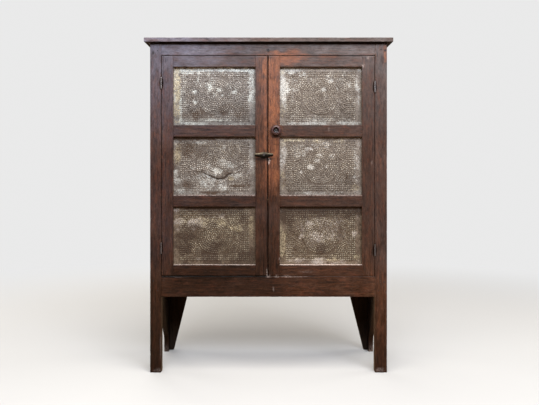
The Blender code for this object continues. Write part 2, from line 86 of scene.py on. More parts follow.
def lattice(cell, seed):
    """A repeatable random number from -1 to 1 for each whole-number cell."""
    h = (cell @ (374761393, 668265263, 974634533) + seed * 1274126177) & 0xFFFFFFFF
    h = ((h ^ (h >> 13)) * 1274126177) & 0xFFFFFFFF
    return ((h ^ (h >> 16)) & 0xFFFF) / 32767.5 - 1.0


def field(points, size, seed):
    """Smooth noise from -1 to 1 at each point, with features of that size, one number or one for each axis."""
    q = np.asarray(points, float) / np.asarray(size, float) + 500.0
    cell = np.floor(q).astype(np.int64)
    f = q - cell
    f = f * f * (3 - 2 * f)
    total = np.zeros(len(q))
    for corner in np.ndindex(2, 2, 2):
        total += np.prod(np.where(corner, f, 1 - f), axis=1) * lattice(cell + np.array(corner), seed)
    return total


def drawn(number, seed, step=0.5):
    """One repeatable random number from -1 to 1."""
    return field(np.array([[number, step, 0.5]]), 1.0, seed)[0]


def smooth(low, high, value):
    """0 below low, 1 above high, and a smooth step between."""
    t = np.clip((value - low) / (high - low), 0, 1)
    return t * t * (3 - 2 * t)


# ---------------------------------------------------------------- materials

class Graph:
    """A material's nodes, written as calls that return sockets."""

    def __init__(self, name):
        self.material = bpy.data.materials.new(name)
        self.material.use_nodes = True
        self.tree = self.material.node_tree
        self.tree.nodes.clear()
        self.out, self.shader = self.node("OutputMaterial"), self.node("BsdfPrincipled")
        self.put(self.out.inputs[0], self.shader.outputs[0])
        self.place = self.node("TexCoord").outputs["Object"]

    def node(self, kind, *values, named=(), **settings):
        """A node with its inputs filled in by order or by name."""
        made = self.tree.nodes.new("ShaderNode" + kind)
        for key, value in settings.items():
            setattr(made, key, value)
        for key, value in [*enumerate(values), *dict(named).items()]:
            self.put(made.inputs[key], value)
        return made

    def put(self, socket, value):
        if isinstance(value, bpy.types.NodeSocket):
            self.tree.links.new(value, socket)
        elif isinstance(value, tuple) and len(value) == 3 and socket.type == "RGBA":
            socket.default_value = value + (1.0,)
        else:
            socket.default_value = value

    def set(self, **values):
        """Values of the shader, with _ for a space in their names."""
        for name, value in values.items():
            self.put(self.shader.inputs[name.replace("_", " ")], value)

    def number(self, attribute):
        return self.node("Attribute", attribute_name=attribute).outputs["Fac"]

    def mask(self):
        """The mesh's four masks."""
        made = self.node("Attribute", attribute_name="mask")
        return [*self.parts(made.outputs["Color"]), made.outputs["Alpha"]]

    def parts(self, colour):
        return list(self.node("SeparateColor", colour).outputs)[:3]

    def scaled(self, vector, scale):
        return self.node("VectorMath", vector, scale, operation="MULTIPLY").outputs[0]

    def noise(self, vector, scale, detail=3.0, rough=0.55, warp=0.0):
        return self.node("TexNoise", named={"Vector": vector, "Scale": scale, "Detail": detail, "Roughness": rough,
                                            "Distortion": warp}).outputs["Fac"]

    def cells(self, vector, scale, feature="F1"):
        return self.node("TexVoronoi", named={"Vector": vector, "Scale": scale}, feature=feature)

    def times(self, a, b):
        return self.node("Math", a, b, operation="MULTIPLY").outputs[0]

    def weigh(self, *pairs, plus=0.0):
        """The sum of values times their weights, plus one number."""
        for value, weight in pairs:
            plus = self.node("Math", value, weight, plus, operation="MULTIPLY_ADD").outputs[0]
        return plus

    def ramp(self, value, low, high, start=0.0, end=1.0):
        """value's range low to high, taken smoothly to start to end."""
        return self.node("MapRange", value, low, high, start, end, interpolation_type="SMOOTHSTEP").outputs[0]

    def mix(self, share, a, b):
        return self.node("Mix", named={0: share, 6: a, 7: b}, data_type="RGBA", clamp_factor=True).outputs[2]

    def layers(self, colour, *layers):
        """colour under layers of (share, colour), or of a ramp's numbers for the share and then colour."""
        for *share, over in layers:
            colour = self.mix(self.ramp(*share) if share[1:] else share[0], colour, over)
        return colour

    def tint(self, colour, value):
        """colour times one number."""
        return self.node("VectorMath", named={0: colour, "Scale": value}, operation="SCALE").outputs[0]

    def finish(self, strength, distance, *heights):
        """The material, with a bump from weighted heights."""
        named = {"Strength": strength, "Distance": distance, "Height": self.weigh(*heights)}
        self.set(Normal=self.node("Bump", named=named).outputs[0])
        return self.material


def wood(name, dark, mid, light, gloss):
    """Old varnished board. mask holds amber wear, edge wear, bare wood and dust, tone scales the colour, painted light
    and shade included, and haze mixes in a lilac grey that is partly the old varnish's bloom and partly a painted
    sheen.
    """
    g = Graph(name)
    grain = g.node("Attribute", attribute_name="grain").outputs["Vector"]
    amber, edge, bare, dust = g.mask()
    haze = g.number("haze")

    def along(length, width, *shape):
        """Noise stretched along the grain, from its scale that way and across."""
        return g.noise(g.scaled(grain, (length, width, width)), 1.0, *shape)

    knots = g.cells(g.scaled(grain, (7.0, 10.0, 10.0)), 1.0)
    near = knots.outputs["Distance"]
    chosen = g.ramp(g.parts(knots.outputs["Color"])[0], 0.80, 0.82)
    knot = g.times(chosen, g.ramp(near, 0.02, 0.15, 1.0, 0.0))
    swirl = g.times(chosen, g.ramp(near, 0.05, 0.45, 1.6, 0.0))
    turned = g.node("VectorMath", g.scaled(grain, (9.0, 210.0, 210.0)),
                    g.node("CombineXYZ", 0.0, swirl, swirl).outputs[0], operation="ADD").outputs[0]
    streak = g.noise(turned, 1.0, 5.0, 0.6, 0.4)
    fine, band = along(26.0, 900.0), along(2.2, 42.0, 3.0, 0.5, 1.2)
    patch, mottle = along(22.0, 58.0, 4.0, 0.62, 0.5), along(11.0, 125.0, 4.0, 0.70, 0.3)
    cast, scuff = along(16.0, 85.0, 3.0, 0.6), along(60.0, 230.0, 4.0, 0.72)
    pits, scratch = along(32.0, 150.0, 3.0, 0.65), along(16.0, 620.0, 2.0)
    blotch, speck = g.noise(g.place, 11.0, 5.0, 0.62), g.noise(g.place, 260.0, 2.0, 0.6)
    fleck = g.noise(g.place, 400.0, 2.0, 0.6)

    colour = g.layers(dark, (streak, 0.25, 0.75, mid), (g.weigh((band, 0.5), (blotch, 0.5)), 0.48, 0.72, light),
                      (patch, 0.50, 0.72, 0.0, 0.65, (0.086, 0.028, 0.014)))
    colour = g.tint(colour, g.ramp(mottle, 0.34, 0.66, 0.66, 1.38))
    gold = g.mix(g.ramp(g.weigh((fine, 0.35), (band, 0.30), (patch, 0.35)), 0.38, 0.62),
                 (0.104, 0.034, 0.016), (0.235, 0.086, 0.036))
    worn = g.weigh((amber, 1.0), (streak, 0.5), (blotch, 0.7), (patch, 0.30), plus=-0.75)
    # bloom_and_sheen: the share of that lilac grey, whose colour is dull, lilac to the left and neutral to the right;
    # partly the varnish's bloom, partly a painted sheen, the reflection of the light high in front
    bloom_and_sheen = g.times(haze, g.ramp(g.weigh((blotch, 0.35), (streak, 0.25), (patch, 0.40)), 0.62, 0.36, 0.45, 1.35))
    across = g.weigh((g.node("SeparateXYZ", g.place).outputs["X"], 1.0), (cast, 0.7), plus=-0.35)
    dull = g.mix(g.ramp(across, -0.50, 0.25), (0.160, 0.151, 0.194), (0.178, 0.151, 0.142))
    dull = g.tint(dull, g.ramp(g.weigh((streak, 0.55), (mottle, 0.45)), 0.34, 0.66, 0.85, 1.15))
    rubbed = g.weigh((edge, 0.75), (speck, 1.1), (blotch, 0.8), plus=-0.95)
    pine = g.layers((0.285, 0.175, 0.100),
                    (g.weigh((band, 0.65), (streak, 0.35)), 0.38, 0.62, (0.180, 0.098, 0.052)),
                    (blotch, 0.50, 0.78, 0.0, 0.55, (0.085, 0.050, 0.032)),
                    (patch, 0.52, 0.75, 0.0, 0.45, (0.20, 0.150, 0.110)),
                    (g.times(knot, 0.85), (0.050, 0.022, 0.010)))
    powder = g.times(dust, g.ramp(g.noise(g.place, 170.0, 2.0), 0.30, 0.62))
    colour = g.layers(colour, (worn, 0.18, 0.95, gold), (bloom_and_sheen, dull),
                      (scuff, 0.55, 0.74, 0.0, 0.32, (0.135, 0.094, 0.076)),
                      (scratch, 0.64, 0.76, 0.0, 0.30, (0.190, 0.140, 0.118)),
                      (fleck, 0.66, 0.74, 0.0, 0.5, (0.190, 0.145, 0.120)),
                      (g.times(g.ramp(speck, 0.68, 0.75, 0.0, 1.5), edge), (0.190, 0.145, 0.118)),
                      (rubbed, 0.52, 0.80, 0.0, 0.75, (0.130, 0.068, 0.042)),
                      (g.weigh((bare, 1.0), (blotch, 0.5), plus=-0.25), 0.35, 0.65, pine),
                      (powder, (0.62, 0.51, 0.455)))
    depth = g.times(g.ramp(along(130.0, 560.0, 2.0), 0.3, 0.7, 0.80, 1.20), g.ramp(pits, 0.32, 0.52, 0.58, 1.08))
    shine = g.ramp(g.weigh((blotch, 0.5), (streak, 0.5)), 0.3, 0.7, gloss, gloss + 0.20)
    rough = g.weigh((bare, 0.30), (dust, 0.30), plus=shine)
    g.set(Base_Color=g.tint(colour, g.times(g.number("tone"), depth)), Specular_IOR_Level=0.22,
          Roughness=g.node("Clamp", rough, 0.0, 1.0).outputs[0])
    edges = g.cells(g.scaled(grain, (60.0, 190.0, 190.0)), 1.0, "DISTANCE_TO_EDGE").outputs["Distance"]
    return g.finish(0.55, 0.0007, (streak, 0.45), (fine, 0.35), (g.ramp(edges, 0.0, 0.08), 0.12))


def tinplate(name, shade, warm, seed):
    """Oxidised tinplate. mask holds pale crust, rust (in places a painted shadow under the rail above), yellow stain,
    and the lips' wear and painted glint; grime is the dirt among the punches, and tone scales the colour."""
    g = Graph(name)
    place = g.node("VectorMath", g.place, (seed * 1.7, seed * 0.9, 0.0), operation="ADD").outputs[0]
    pale, rust, yellow, lip = g.mask()
    cloud, grit = g.noise(place, 16.0, 4.0, 0.6), g.noise(place, 150.0, 3.0, 0.65)
    fleck, stain = g.noise(place, 95.0, 4.0, 0.75), g.noise(place, 240.0, 2.0, 0.6)
    spangle = g.parts(g.cells(place, 85.0).outputs["Color"])[0]
    dull, aged = shade * (1 - 0.16 * warm), 0.40 + 0.60 * shade
    glint = (0.94 - 0.14 * warm) * (0.45 + 0.55 * shade)

    def cooled(scale, base, warmed=(0, 0, 0)):
        """A colour for this sheet's warmth, times a scale."""
        return tuple(scale * (a + b * warm) for a, b in zip(base, warmed))

    def crumbled(value):
        """A patch's share, broken up at its edge."""
        return g.ramp(g.weigh((value, 1.0), (fleck, 2.25), (stain, 2.25), plus=-2.25), 0.30, 1.15, 0.0, 0.80)

    mottled = g.weigh((cloud, 0.50), (grit, 0.38), (spangle, 0.12))
    dirt = g.weigh((g.number("grime"), 1.0), (cloud, 1.6), plus=-0.8)
    spotted = g.times(yellow, g.ramp(g.noise(place, 135.0, 3.0, 0.7), 0.48, 0.60, 0.0, 0.75))
    crust = g.weigh((rust, 1.0), (spotted, 1.0), (stain, 1.2), (fleck, 1.2), plus=-1.2)
    # bright: how strongly the lips take their colour, worn bright and a painted highlight, less where rusted
    bright = g.times(g.ramp(g.weigh((cloud, 1.0), (grit, 0.9), plus=-0.45), 0.38, 0.66, 0.20, 1.0),
                     g.ramp(rust, 0.25, 1.0, 1.0, 0.40))
    bright = g.times(bright, g.weigh((pale, 0.45), (yellow, 0.45), plus=0.90))
    colour = g.layers(
        cooled(dull, (0.115, 0.101, 0.091), (0.017, -0.015, -0.037)),
        (mottled, 0.34, 0.66, cooled(dull, (0.308, 0.287, 0.262), (0.037, -0.024, -0.078))),
        (dirt, 0.30, 1.30, 0.0, 0.75, cooled(shade, (0.092, 0.072, 0.060), (0.0, -0.008, -0.022))),
        (crumbled(pale), cooled(aged, (0.56, 0.590, 0.548), (0.0, -0.090, -0.10))),
        (crumbled(yellow), cooled(aged, (0.48, 0.40, 0.25))),
        (crust, 0.20, 1.0, 0.0, 0.92, cooled(shade, (0.066, 0.037, 0.020))),
        (g.times(lip, bright), cooled(glint, (1.0, 0.95, 0.87), (0.0, -0.06, -0.20))))
    sparkle = g.ramp(g.noise(place, 250.0, 3.0, 0.7), 0.36, 0.64, 0.60, 1.32)
    g.set(Base_Color=g.tint(colour, g.times(g.number("tone"), sparkle)), Specular_IOR_Level=0.30,
          Metallic=g.weigh((pale, -0.35), (rust, -0.35), plus=0.52 - 0.10 * warm),
          Roughness=g.ramp(g.weigh((mottled, 1.0), (rust, 0.4)), 0.30, 0.80, 0.40 + 0.10 * warm, 0.70))
    return g.finish(0.35, 0.0006, (grit, 0.6), (cloud, 0.4))


def metal(name, dark, light, rust, scale, roughness, metallic=0.75, rubbed=False):
    """Old iron or steel with rust in its hollows. rubbed: nearly black on the sides as painted shade, and worn bright
    where it faces forward, with a painted highlight there.
    """
    g = Graph(name)
    cloud, grit = g.noise(g.place, scale, 4.0, 0.6), g.noise(g.place, scale * 7.0, 3.0, 0.6)
    colour = g.mix(g.ramp(grit, 0.35, 0.65), dark, light)
    crust = g.ramp(g.weigh((cloud, 0.7), (grit, 0.3)), 0.46, 0.62)
    if rubbed:
        # painted light: the forward-facing parts lightened as a highlight, partly wear, and the rest darkened as shade
        facing = g.node("SeparateXYZ", g.node("TexCoord").outputs["Normal"]).outputs["Y"]
        front = g.ramp(g.weigh((facing, 1.0), (grit, 0.10), plus=-0.05), -0.98, -0.86, 1.0, 0.0)
        colour = g.mix(front, tuple(0.30 * c for c in dark), light)
        crust = g.times(crust, g.ramp(front, 0.0, 1.0, 0.8, 0.25))
    g.set(Base_Color=g.mix(crust, colour, rust), Metallic=g.weigh((crust, -0.6), plus=metallic),
          Roughness=g.ramp(crust, 0.0, 1.0, roughness, roughness + 0.35))
    return g.finish(0.4, 0.0004, (grit, 1.0), (crust, 0.5))


def polished(name, dark, light, roughness, specular=None):
    """Small hard piece of wood, darkened and polished by hands. specular: its level, if the mesh's tone scales it."""
    g = Graph(name)
    rings = g.noise(g.scaled(g.place, (60.0, 420.0, 420.0)), 1.0, 4.0, 0.6, 0.8)
    wear = g.noise(g.place, 140.0, 4.0, 0.6)
    colour = g.layers(dark, (rings, 0.35, 0.65, light), (wear, 0.55, 0.75, 0.0, 0.5, tuple(2.2 * c for c in light)))
    if specular:
        colour = g.tint(colour, g.number("tone"))
        g.set(Specular_IOR_Level=specular)
    g.set(Base_Color=colour, Roughness=g.ramp(wear, 0.3, 0.7, roughness, roughness + 0.2))
    return g.finish(0.35, 0.0004, (rings, 0.6), (wear, 0.5))


OLD_FINISH = wood("old_finish_wood", (0.030, 0.0110, 0.0046), (0.052, 0.0190, 0.0080), (0.066, 0.028, 0.0140), 0.25)
DRY_FINISH = wood("dry_top_wood", (0.052, 0.030, 0.023), (0.078, 0.050, 0.040), (0.110, 0.075, 0.060), 0.55)
BARE_PINE = wood("bare_pine_wood", (0.17, 0.085, 0.042), (0.27, 0.15, 0.08), (0.32, 0.19, 0.11), 0.62)
# the lower hinges' iron and pins are darker copies of the upper ones, painted shade, and rougher
LEAF_IRON = {
    "upper": metal("rusted_hinge_iron", (0.050, 0.043, 0.040), (0.23, 0.205, 0.200), (0.045, 0.020, 0.012), 120.0, 0.46,
                   rubbed=True),
    "lower": metal("dulled_and_shaded_hinge_iron", (0.036, 0.028, 0.024), (0.15, 0.125, 0.118), (0.045, 0.020, 0.012), 120.0, 0.55,
                   0.6, rubbed=True)}
PIN_IRON = {
    "upper": metal("worn_pin_iron", (0.10, 0.09, 0.085), (0.40, 0.38, 0.36), (0.075, 0.036, 0.019), 160.0, 0.36),
    "lower": metal("dulled_and_shaded_pin_iron", (0.05, 0.04, 0.035), (0.22, 0.19, 0.175), (0.060, 0.028, 0.015), 160.0, 0.45)}
NAIL_IRON = metal("nail_iron", (0.028, 0.022, 0.019), (0.085, 0.070, 0.062), (0.055, 0.024, 0.012), 300.0, 0.55, 0.6)
SCREW_STEEL = metal("old_screw_steel", (0.05, 0.045, 0.04), (0.20, 0.18, 0.165), (0.085, 0.045, 0.025), 260.0, 0.34)
DARK_STEEL = metal("dark_screw_steel", (0.012, 0.011, 0.010), (0.13, 0.12, 0.115), (0.020, 0.012, 0.008), 400.0, 0.42)
KNOB_WOOD = polished("turned_dark_wood", (0.012, 0.006, 0.005), (0.040, 0.020, 0.020), 0.16, 0.50)
PEG_WOOD = polished("peg_end_wood", (0.004, 0.003, 0.003), (0.012, 0.008, 0.007), 0.55)
BUTTON_WOOD = polished("turn_button_wood", (0.070, 0.052, 0.034), (0.200, 0.165, 0.110), 0.40, 0.15)


# ---------------------------------------------------------------- what the finish looks like, place by place

GOLD, EDGE, BARE, DUST = range(4)        # a board's masks


def shares(table, lengths):
    """Rows of so many lengths in mm, then hundredths, as metres and shares of 1."""
    return [[value / (1000 if index < lengths else 100) for index, value in enumerate(row)] for row in table]


# (x low, x high, z low, z high, soft edge, in mm, and strength in hundredths) of golden wear, on the faces that look
# forward
AMBER = shares((
    (-4, 47.5, 1050, 1332, 45, 102), (-4, 47.5, 800, 1060, 60, 66), (-4, 47.5, 735, 860, 20, 34),
    (10, 47.5, 910, 1000, 20, 40), (-57, -4, 1100, 1330, 12, 38), (-57, -4, 900, 1100, 12, 32),
    (-57, -4, 700, 920, 30, 18), (-11.5, -8, 680, 900, 2, 60), (0, 3, 700, 1320, 2, 30),
    (8, 47.5, 1040, 1240, 40, 20), (50, 120, 1290, 1330, 15, 25), (20, 120, 1330, 1350, 14, 66),
    (-45, 20, 1330, 1345, 10, 25), (40, 165, 1298, 1332, 45, 88), (90, 290, 1319.5, 1332, 10, 60),
    (-120, -57, 1290, 1332, 30, 25), (484, 499.5, 1300, 1375, 8, 100), (-500, -450, 330, 620, 150, 10),
    (447, 497.5, 0, 450, 60, 27), (-380, 100, 330, 445, 30, 24), (-499.5, -452, 0, 160, 30, 22),
), 5)
# (x low, x high, z low, z high, soft edge, in mm, and shares of the front's tone and of its varnish haze and painted
# sheen in hundredths)
LOCAL = shares((
    (-57, -9, 700, 1300, 20, 100, 60), (0.5, 47.5, 1000, 1320, 30, 103, 60), (0.5, 47.5, 700, 1000, 30, 92, 30),
    (-57, 47.5, 450, 620, 30, 86, 35), (-115, -57, 1290, 1333, 20, 105, 55), (47, 130, 1290, 1333, 10, 120, 100),
    (130, 390, 1290, 1333, 10, 108, 75), (20, 140, 1335, 1380, 10, 108, 75), (-40, 20, 1335, 1380, 10, 96, 90),
    (447.5, 499.5, 1000, 1340, 40, 94, 88), (400, 447, 700, 1200, 40, 88, 115), (-420, -10, 690, 745, 10, 80, 95),
    (50, 420, 690, 745, 10, 91, 115), (-420, -57, 985, 1035, 10, 91, 110), (100, 250, 985, 1035, 10, 92, 90),
    (-400, 50, 330, 450, 30, 74, 0), (-499.5, -451.1, 0, 140, 30, 78, 5), (-499.5, -452, 1300, 1380, 20, 100, 120),
    (-499.5, -400, 220, 1100, 40, 107, 110), (250, 500, 160, 500, 40, 108, 110), (200, 500, 1335, 1380, 10, 110, 130),
    (447, 499.5, 160, 500, 30, 110, 120), (-447.5, -400, 400, 560, 30, 110, 160), (-57, -9, 700, 900, 30, 96, 40),
    (0.5, 47.5, 700, 900, 30, 96, 30), (-450, -300, 1335, 1380, 20, 106, 115), (120, 230, 1335, 1380, 20, 96, 80),
    (447, 499.5, 980, 1120, 40, 93, 95), (-300, -120, 985, 1035, 10, 93, 90), (447, 499.5, 0, 120, 30, 72, 0),
    (447.5, 499.5, 720, 860, 40, 93, 100),
), 5)
# (x, z, half width, half height, in mm, and strength in hundredths) of pale chips and scuffs
CHIPS = shares((
    (0.8, 888, 2.6, 8.5, 220), (418, 1322, 4, 3, 40), (397, 1290, 3, 6, 40), (435, 881, 1, 6, 20),
    (-3, 404, 10, 2.5, 70), (-7, 421, 0.2, 16, 70), (34, 404, 8, 2.5, 60), (75, 404, 22, 1.8, 40),
    (254, 1023, 1.5, 8, 15), (21, 352, 1, 7, 35), (-462, 10, 18, 4, 50), (468, 12, 18, 4, 40), (-452, 110, 2, 50, 30),
    (47.5, 478, 2.5, 6, 30), (163, 424, 37, 0.6, 15), (130, 404, 35, 0.6, 22),
), 4)
# the same of grime about the pegs and in worn hollows, of painted shade about the hinges, and of painted shadow round
# and below the knob and under the turn button
GRIME_AND_SHADE = shares((
    (-1, 1352, 7, 7, 90), (-484, 1343, 5, 6, 70), (489, 1354, 6, 7, 85), (472, 1357, 4, 4, 70),
    (-450, 523, 7, 27, 70), (-450, 1216, 9, 27, 95), (446, 514, 9, 27, 90), (446, 1200, 9, 27, 90),
    (31.7, 1010, 27, 27, 45), (-20, 897, 45, 10, 60), (-20, 897.5, 40, 6, 60), (31.7, 994, 21, 9, 60),
    (-25, 1030, 12, 60, 25), (32, 958, 16, 3, 40),
), 4)

BACK_NAILS = [(x, z) for name in ("left", "middle_left", "middle_right", "right")
              for x in np.linspace(box("back_board_" + name)[0][X] + 0.028, box("back_board_" + name)[1][X] - 0.028, 3)
              for z in NAIL_HEIGHTS]


def paint_old(points, normals, mask, tone, haze):
    """Varnish outside, darker at the feet and under the case, partly grime and partly painted shade, and bare inside
    above the floor; also painted light: a sheen high on the front, the front lighter to the right, a shadow under the
    top, and shade in the gaps round the doors and about the hinges, knob and turn button.
    """
    x, y, z = points.T
    forward = normals[:, Y] < -0.3
    ragged = field(points, 0.018, 61), field(points, 0.030, 62)

    def zone(low_x, high_x, low_z, high_z, soft):
        """1 inside a rectangle of the front, fading to 0 over its soft edge."""
        inside = forward * 1.0
        for place, low, high in ((x + soft * 0.5 * ragged[0], low_x, high_x), (z + soft * ragged[1], low_z, high_z)):
            inside *= smooth(low - soft, low + soft, place) * (1 - smooth(high - soft, high + soft, place))
        return inside

    def spot(place_x, place_z, half_x, half_z, full, none):
        """1 near a place, fading to 0, by shares of its half sizes."""
        return 1 - smooth(full, none, np.hypot((x - place_x) / half_x, (z - place_z) / half_z))

    for *place, strength in AMBER:
        mask[:, GOLD] += strength * zone(*place)
    mask[:, GOLD] += 0.16 * field(points, (0.10, 0.10, 0.16), 51)
    for place_x, place_z, half_x, half_z, strength in CHIPS:
        chip = spot(place_x, place_z, half_x + 0.002, half_z + 0.002, 0.6, 1.3)
        mask[:, DUST] += strength * chip * (y < FRONT + 0.004)
    inside = (y > FRONT + 0.012) & (abs(x) < 0.4672) & (y < 0.2052) & (z > CASE_FOOT)
    indoors = (normals[:, Y] > 0.6) & (z > CASE_FOOT) | (abs(normals[:, X]) > 0.6)
    mask[:, BARE] = np.where(inside & indoors, 0.80, mask[:, BARE])
    low = 1 - smooth(0.42, 0.62, z)
    # painted light and shade: the front lighter to the right, where more light falls, and darker towards the feet and
    # under the case, partly grime; the lower left darker still
    tone *= 0.95 + (0.08 + 0.09 * low) * smooth(-0.5, 0.5, x) + 0.14 * field(points, 0.09, 52)
    tone *= (0.66 + 0.34 * smooth(0.0, 0.34, z)) * (0.84 + 0.16 * smooth(0.45, 0.95, z))
    tone *= 1 - low * (0.30 * (1 - smooth(-0.02, 0.09, x)) - 0.12 * smooth(0.40, 0.46, x))
    # painted sheen: haze high on the front, strongest to the left, with a little at middle heights; LOCAL raises or
    # lowers it in places
    lit = 0.37 * smooth(0.90, 1.34, z) ** 1.2 + 0.21 * smooth(1.333, 1.345, z)
    across = 1.30 - 0.52 * smooth(-0.50, 0.10, x) - 0.20 * smooth(0.40, 0.46, x)
    middle = smooth(0.32, 0.60, z) * (0.065 + 0.075 * smooth(0.43, 0.45, x))
    haze += (lit * across + middle) * (1 + 0.45 * field(points, 0.07, 56)) * (mask[:, BARE] < 0.5)
    for *place, darker, duller in LOCAL:
        here = zone(*place)
        tone *= 1 - (1 - darker) * here
        haze *= 1 - (1 - duller) * here
    haze *= 1 - 0.75 * np.clip(mask[:, GOLD], 0, 1)
    # painted shadow, with some grime: the front just under the top's overhang made nearly black
    shaded = smooth(1.3765, 1.3822, z) * forward
    # painted shade in the gap between the doors: its sides nearly black, the left door's edge beside it darker, and no
    # sheen or golden wear on the sides
    gap = (abs(x - MEETING) < 0.0045) & (y < -0.165) & (z > CASE_FOOT) & (z < 1.334)
    sides = gap & (abs(normals[:, X]) > 0.9)
    tone *= (1 - 0.85 * shaded) * np.where(sides, 0.12, np.where(gap & (x < MEETING) & (z > 0.446), 0.45, 1.0))
    haze *= (1 - shaded) * ~sides
    mask[:, GOLD] *= ~sides
    # painted shade in the gaps above and below the doors
    level = (abs(z - DOOR_TOP) < 0.004) & (abs(normals[:, Z]) > 0.45)
    level |= (abs(z - DOOR_FOOT) < 0.0036) & (x < -0.008) & (abs(x) < 0.449)
    tone *= np.where(level & (y < -0.13), 0.15, 1.0)
    # grime, painted shade and painted shadow, darkening tone and haze
    for *place, strength in GRIME_AND_SHADE:
        dark = strength * spot(*place, 0.55, 1.2) * forward
        tone *= 1 - dark
        haze *= 1 - dark


def paint_rail(points, normals, mask, tone, haze):
    """A door rail: as the rest of the front, with dust on the edge that looks up, lightened further low down as a
    painted highlight.
    """
    paint_old(points, normals, mask, tone, haze)
    z, top = points[:, Z], points[:, Z].max()
    up = smooth(0.5, 0.95, normals[:, Z])
    mask[:, DUST] += up * (1.0 - 0.6 * smooth(0.55, 0.95, z))
    if 0.70 < top < 0.80:
        mask[:, DUST] += 0.55 * smooth(-0.0045, -0.0005, z - top) * (normals[:, Y] < -0.3)
    # painted highlight: up-facing faces of the lower rails lightened, as if lit from above
    tone *= 1 + up * 0.7 * (z < 0.6)
    mask[:, BARE] *= 1 - up


def paint_top(points, normals, mask, tone, haze):
    """Dry, greyed finish on the top, with a painted shadow making it nearly black underneath where it meets the case.
    """
    x, up = points[:, X], normals[:, Z]
    mask[:, DUST] += 0.10 * smooth(0.5, 0.95, up)
    mask[:, EDGE] *= 0.5
    left = 1 - smooth(-0.45, 0.05, x)
    haze += 0.45 + 0.14 * field(points, (0.09, 0.03, 0.03), 57) + 0.28 * left
    tone *= 1.12 + 0.14 * field(points, (0.12, 0.05, 0.05), 54) + 0.16 * left - 0.22 * smooth(0.0, 0.35, x)
    joint = abs(points[:, Y] - TOP_JOINT) < 0.0024
    # painted shadow: the underside nearly black; the joint between the boards darker
    tone *= (1 - 0.85 * smooth(0.5, 0.9, -up)) * np.where(joint, 0.30, 1.0)
    haze *= (1 - smooth(0.3, 0.9, -up)) * np.where(joint, 0.2, 1.0)


def paint_pine(points, normals, mask, tone, haze):
    """Bare wood indoors: darker at the ends and the back, and dusty where it faces up."""
    mask[:, BARE] = 1.0
    tone *= 1 - 0.45 * smooth(0.30, 0.80, mask[:, EDGE])
    mask[:, EDGE] *= 0.3
    mask[:, DUST] += 0.12 * smooth(0.6, 0.95, normals[:, Z])
    tone *= 0.95 + 0.18 * field(points, 0.12, 55) + 0.16 * field(points, (0.05, 0.05, 0.6), 58)


def paint_back(points, normals, mask, tone, haze):
    """Back boards: weathered bare wood, darker and stained at the foot, with painted shade making the inner face of the
    feet nearly black.
    """
    paint_pine(points, normals, mask, tone, haze)
    x, _, z = points.T
    inward = normals[:, Y] < -0.5
    tone *= 0.98 - 0.30 * (1 - smooth(0.30, 0.40, z)) * ~inward
    for nail_x, nail_z in BACK_NAILS:
        away = np.hypot(x - nail_x, (z - nail_z + 0.004) * 0.7)
        tone *= 1 - 0.45 * (1 - smooth(0.002, 0.012, away)) * (normals[:, Y] > 0.5)
    # painted shade: inner faces of the feet, under the case, nearly black
    tone *= np.where(inward & (z < 0.384), 0.11, 1.0)


def paint_side(points, normals, mask, tone, haze):
    """Side boards: varnish outside, bare inside, and painted shade making the inner face of the feet nearly black."""
    paint_old(points, normals, mask, tone, haze)
    x, _, z = points.T
    inner = (abs(x) < 0.470) & (z < CASE_FOOT)
    mask[:, BARE] *= ~inner
    # painted shade: inner faces of the feet, under the case, nearly black
    tone *= np.where(inner & (abs(normals[:, X]) > 0.5), 0.12, 1.0)
    sawn = smooth(0.5, 0.9, -normals[:, Y]) * (z < 0.316)
    mask[:, DUST] += 0.45 * sawn * (1 - smooth(0.0, 0.05, z))
    tone *= 1 - 0.55 * sawn * smooth(0.02, 0.10, z)
    haze *= 1 - sawn


# ---------------------------------------------------------------- meshes

LAYERS = {1: ("FLOAT", "value"), 3: ("FLOAT_VECTOR", "vector"), 4: ("FLOAT_COLOR", "color")}   # by their width


def add_piece(name, shape, body, slot, material, nodes=(), flat=(), sharp=38.0, **layers):
    """A mesh that rides on a body, stands for CAD nodes and wears the material given; slot is not used."""
    verts, faces = shape
    mesh = bpy.data.meshes.new(name)
    mesh.from_pydata(np.asarray(verts, float).tolist(), [], faces)
    mesh.shade_smooth()
    for index in flat:
        mesh.polygons[index].use_smooth = False
    mesh.set_sharp_from_angle(angle=math.radians(sharp))
    for key, values in layers.items():
        kind, entry = LAYERS[values.size // len(values)]
        mesh.attributes.new(key, kind, "POINT").data.foreach_set(entry, np.asarray(values, np.float32).ravel())
    piece = bpy.data.objects.new(name, mesh)
    bpy.context.scene.collection.objects.link(piece)
    mesh.materials.append(material)
    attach(piece, body)
    if nodes:
        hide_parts(*nodes)


def middle_of(node):
    """The middle of a node's box."""
    low, high = box(node)
    return (low + high) / 2


def tube(stations, count):
    """Faces of a closed tube with so many stations and points round each, its two ends last."""
    size = stations * count
    walls = [(a + k, a + (k + 1) % count, a + count + (k + 1) % count, a + count + k)
             for a in range(0, size - count, count) for k in range(count)]
    return walls + [tuple(range(count))[::-1], tuple(range(size - count, size))]


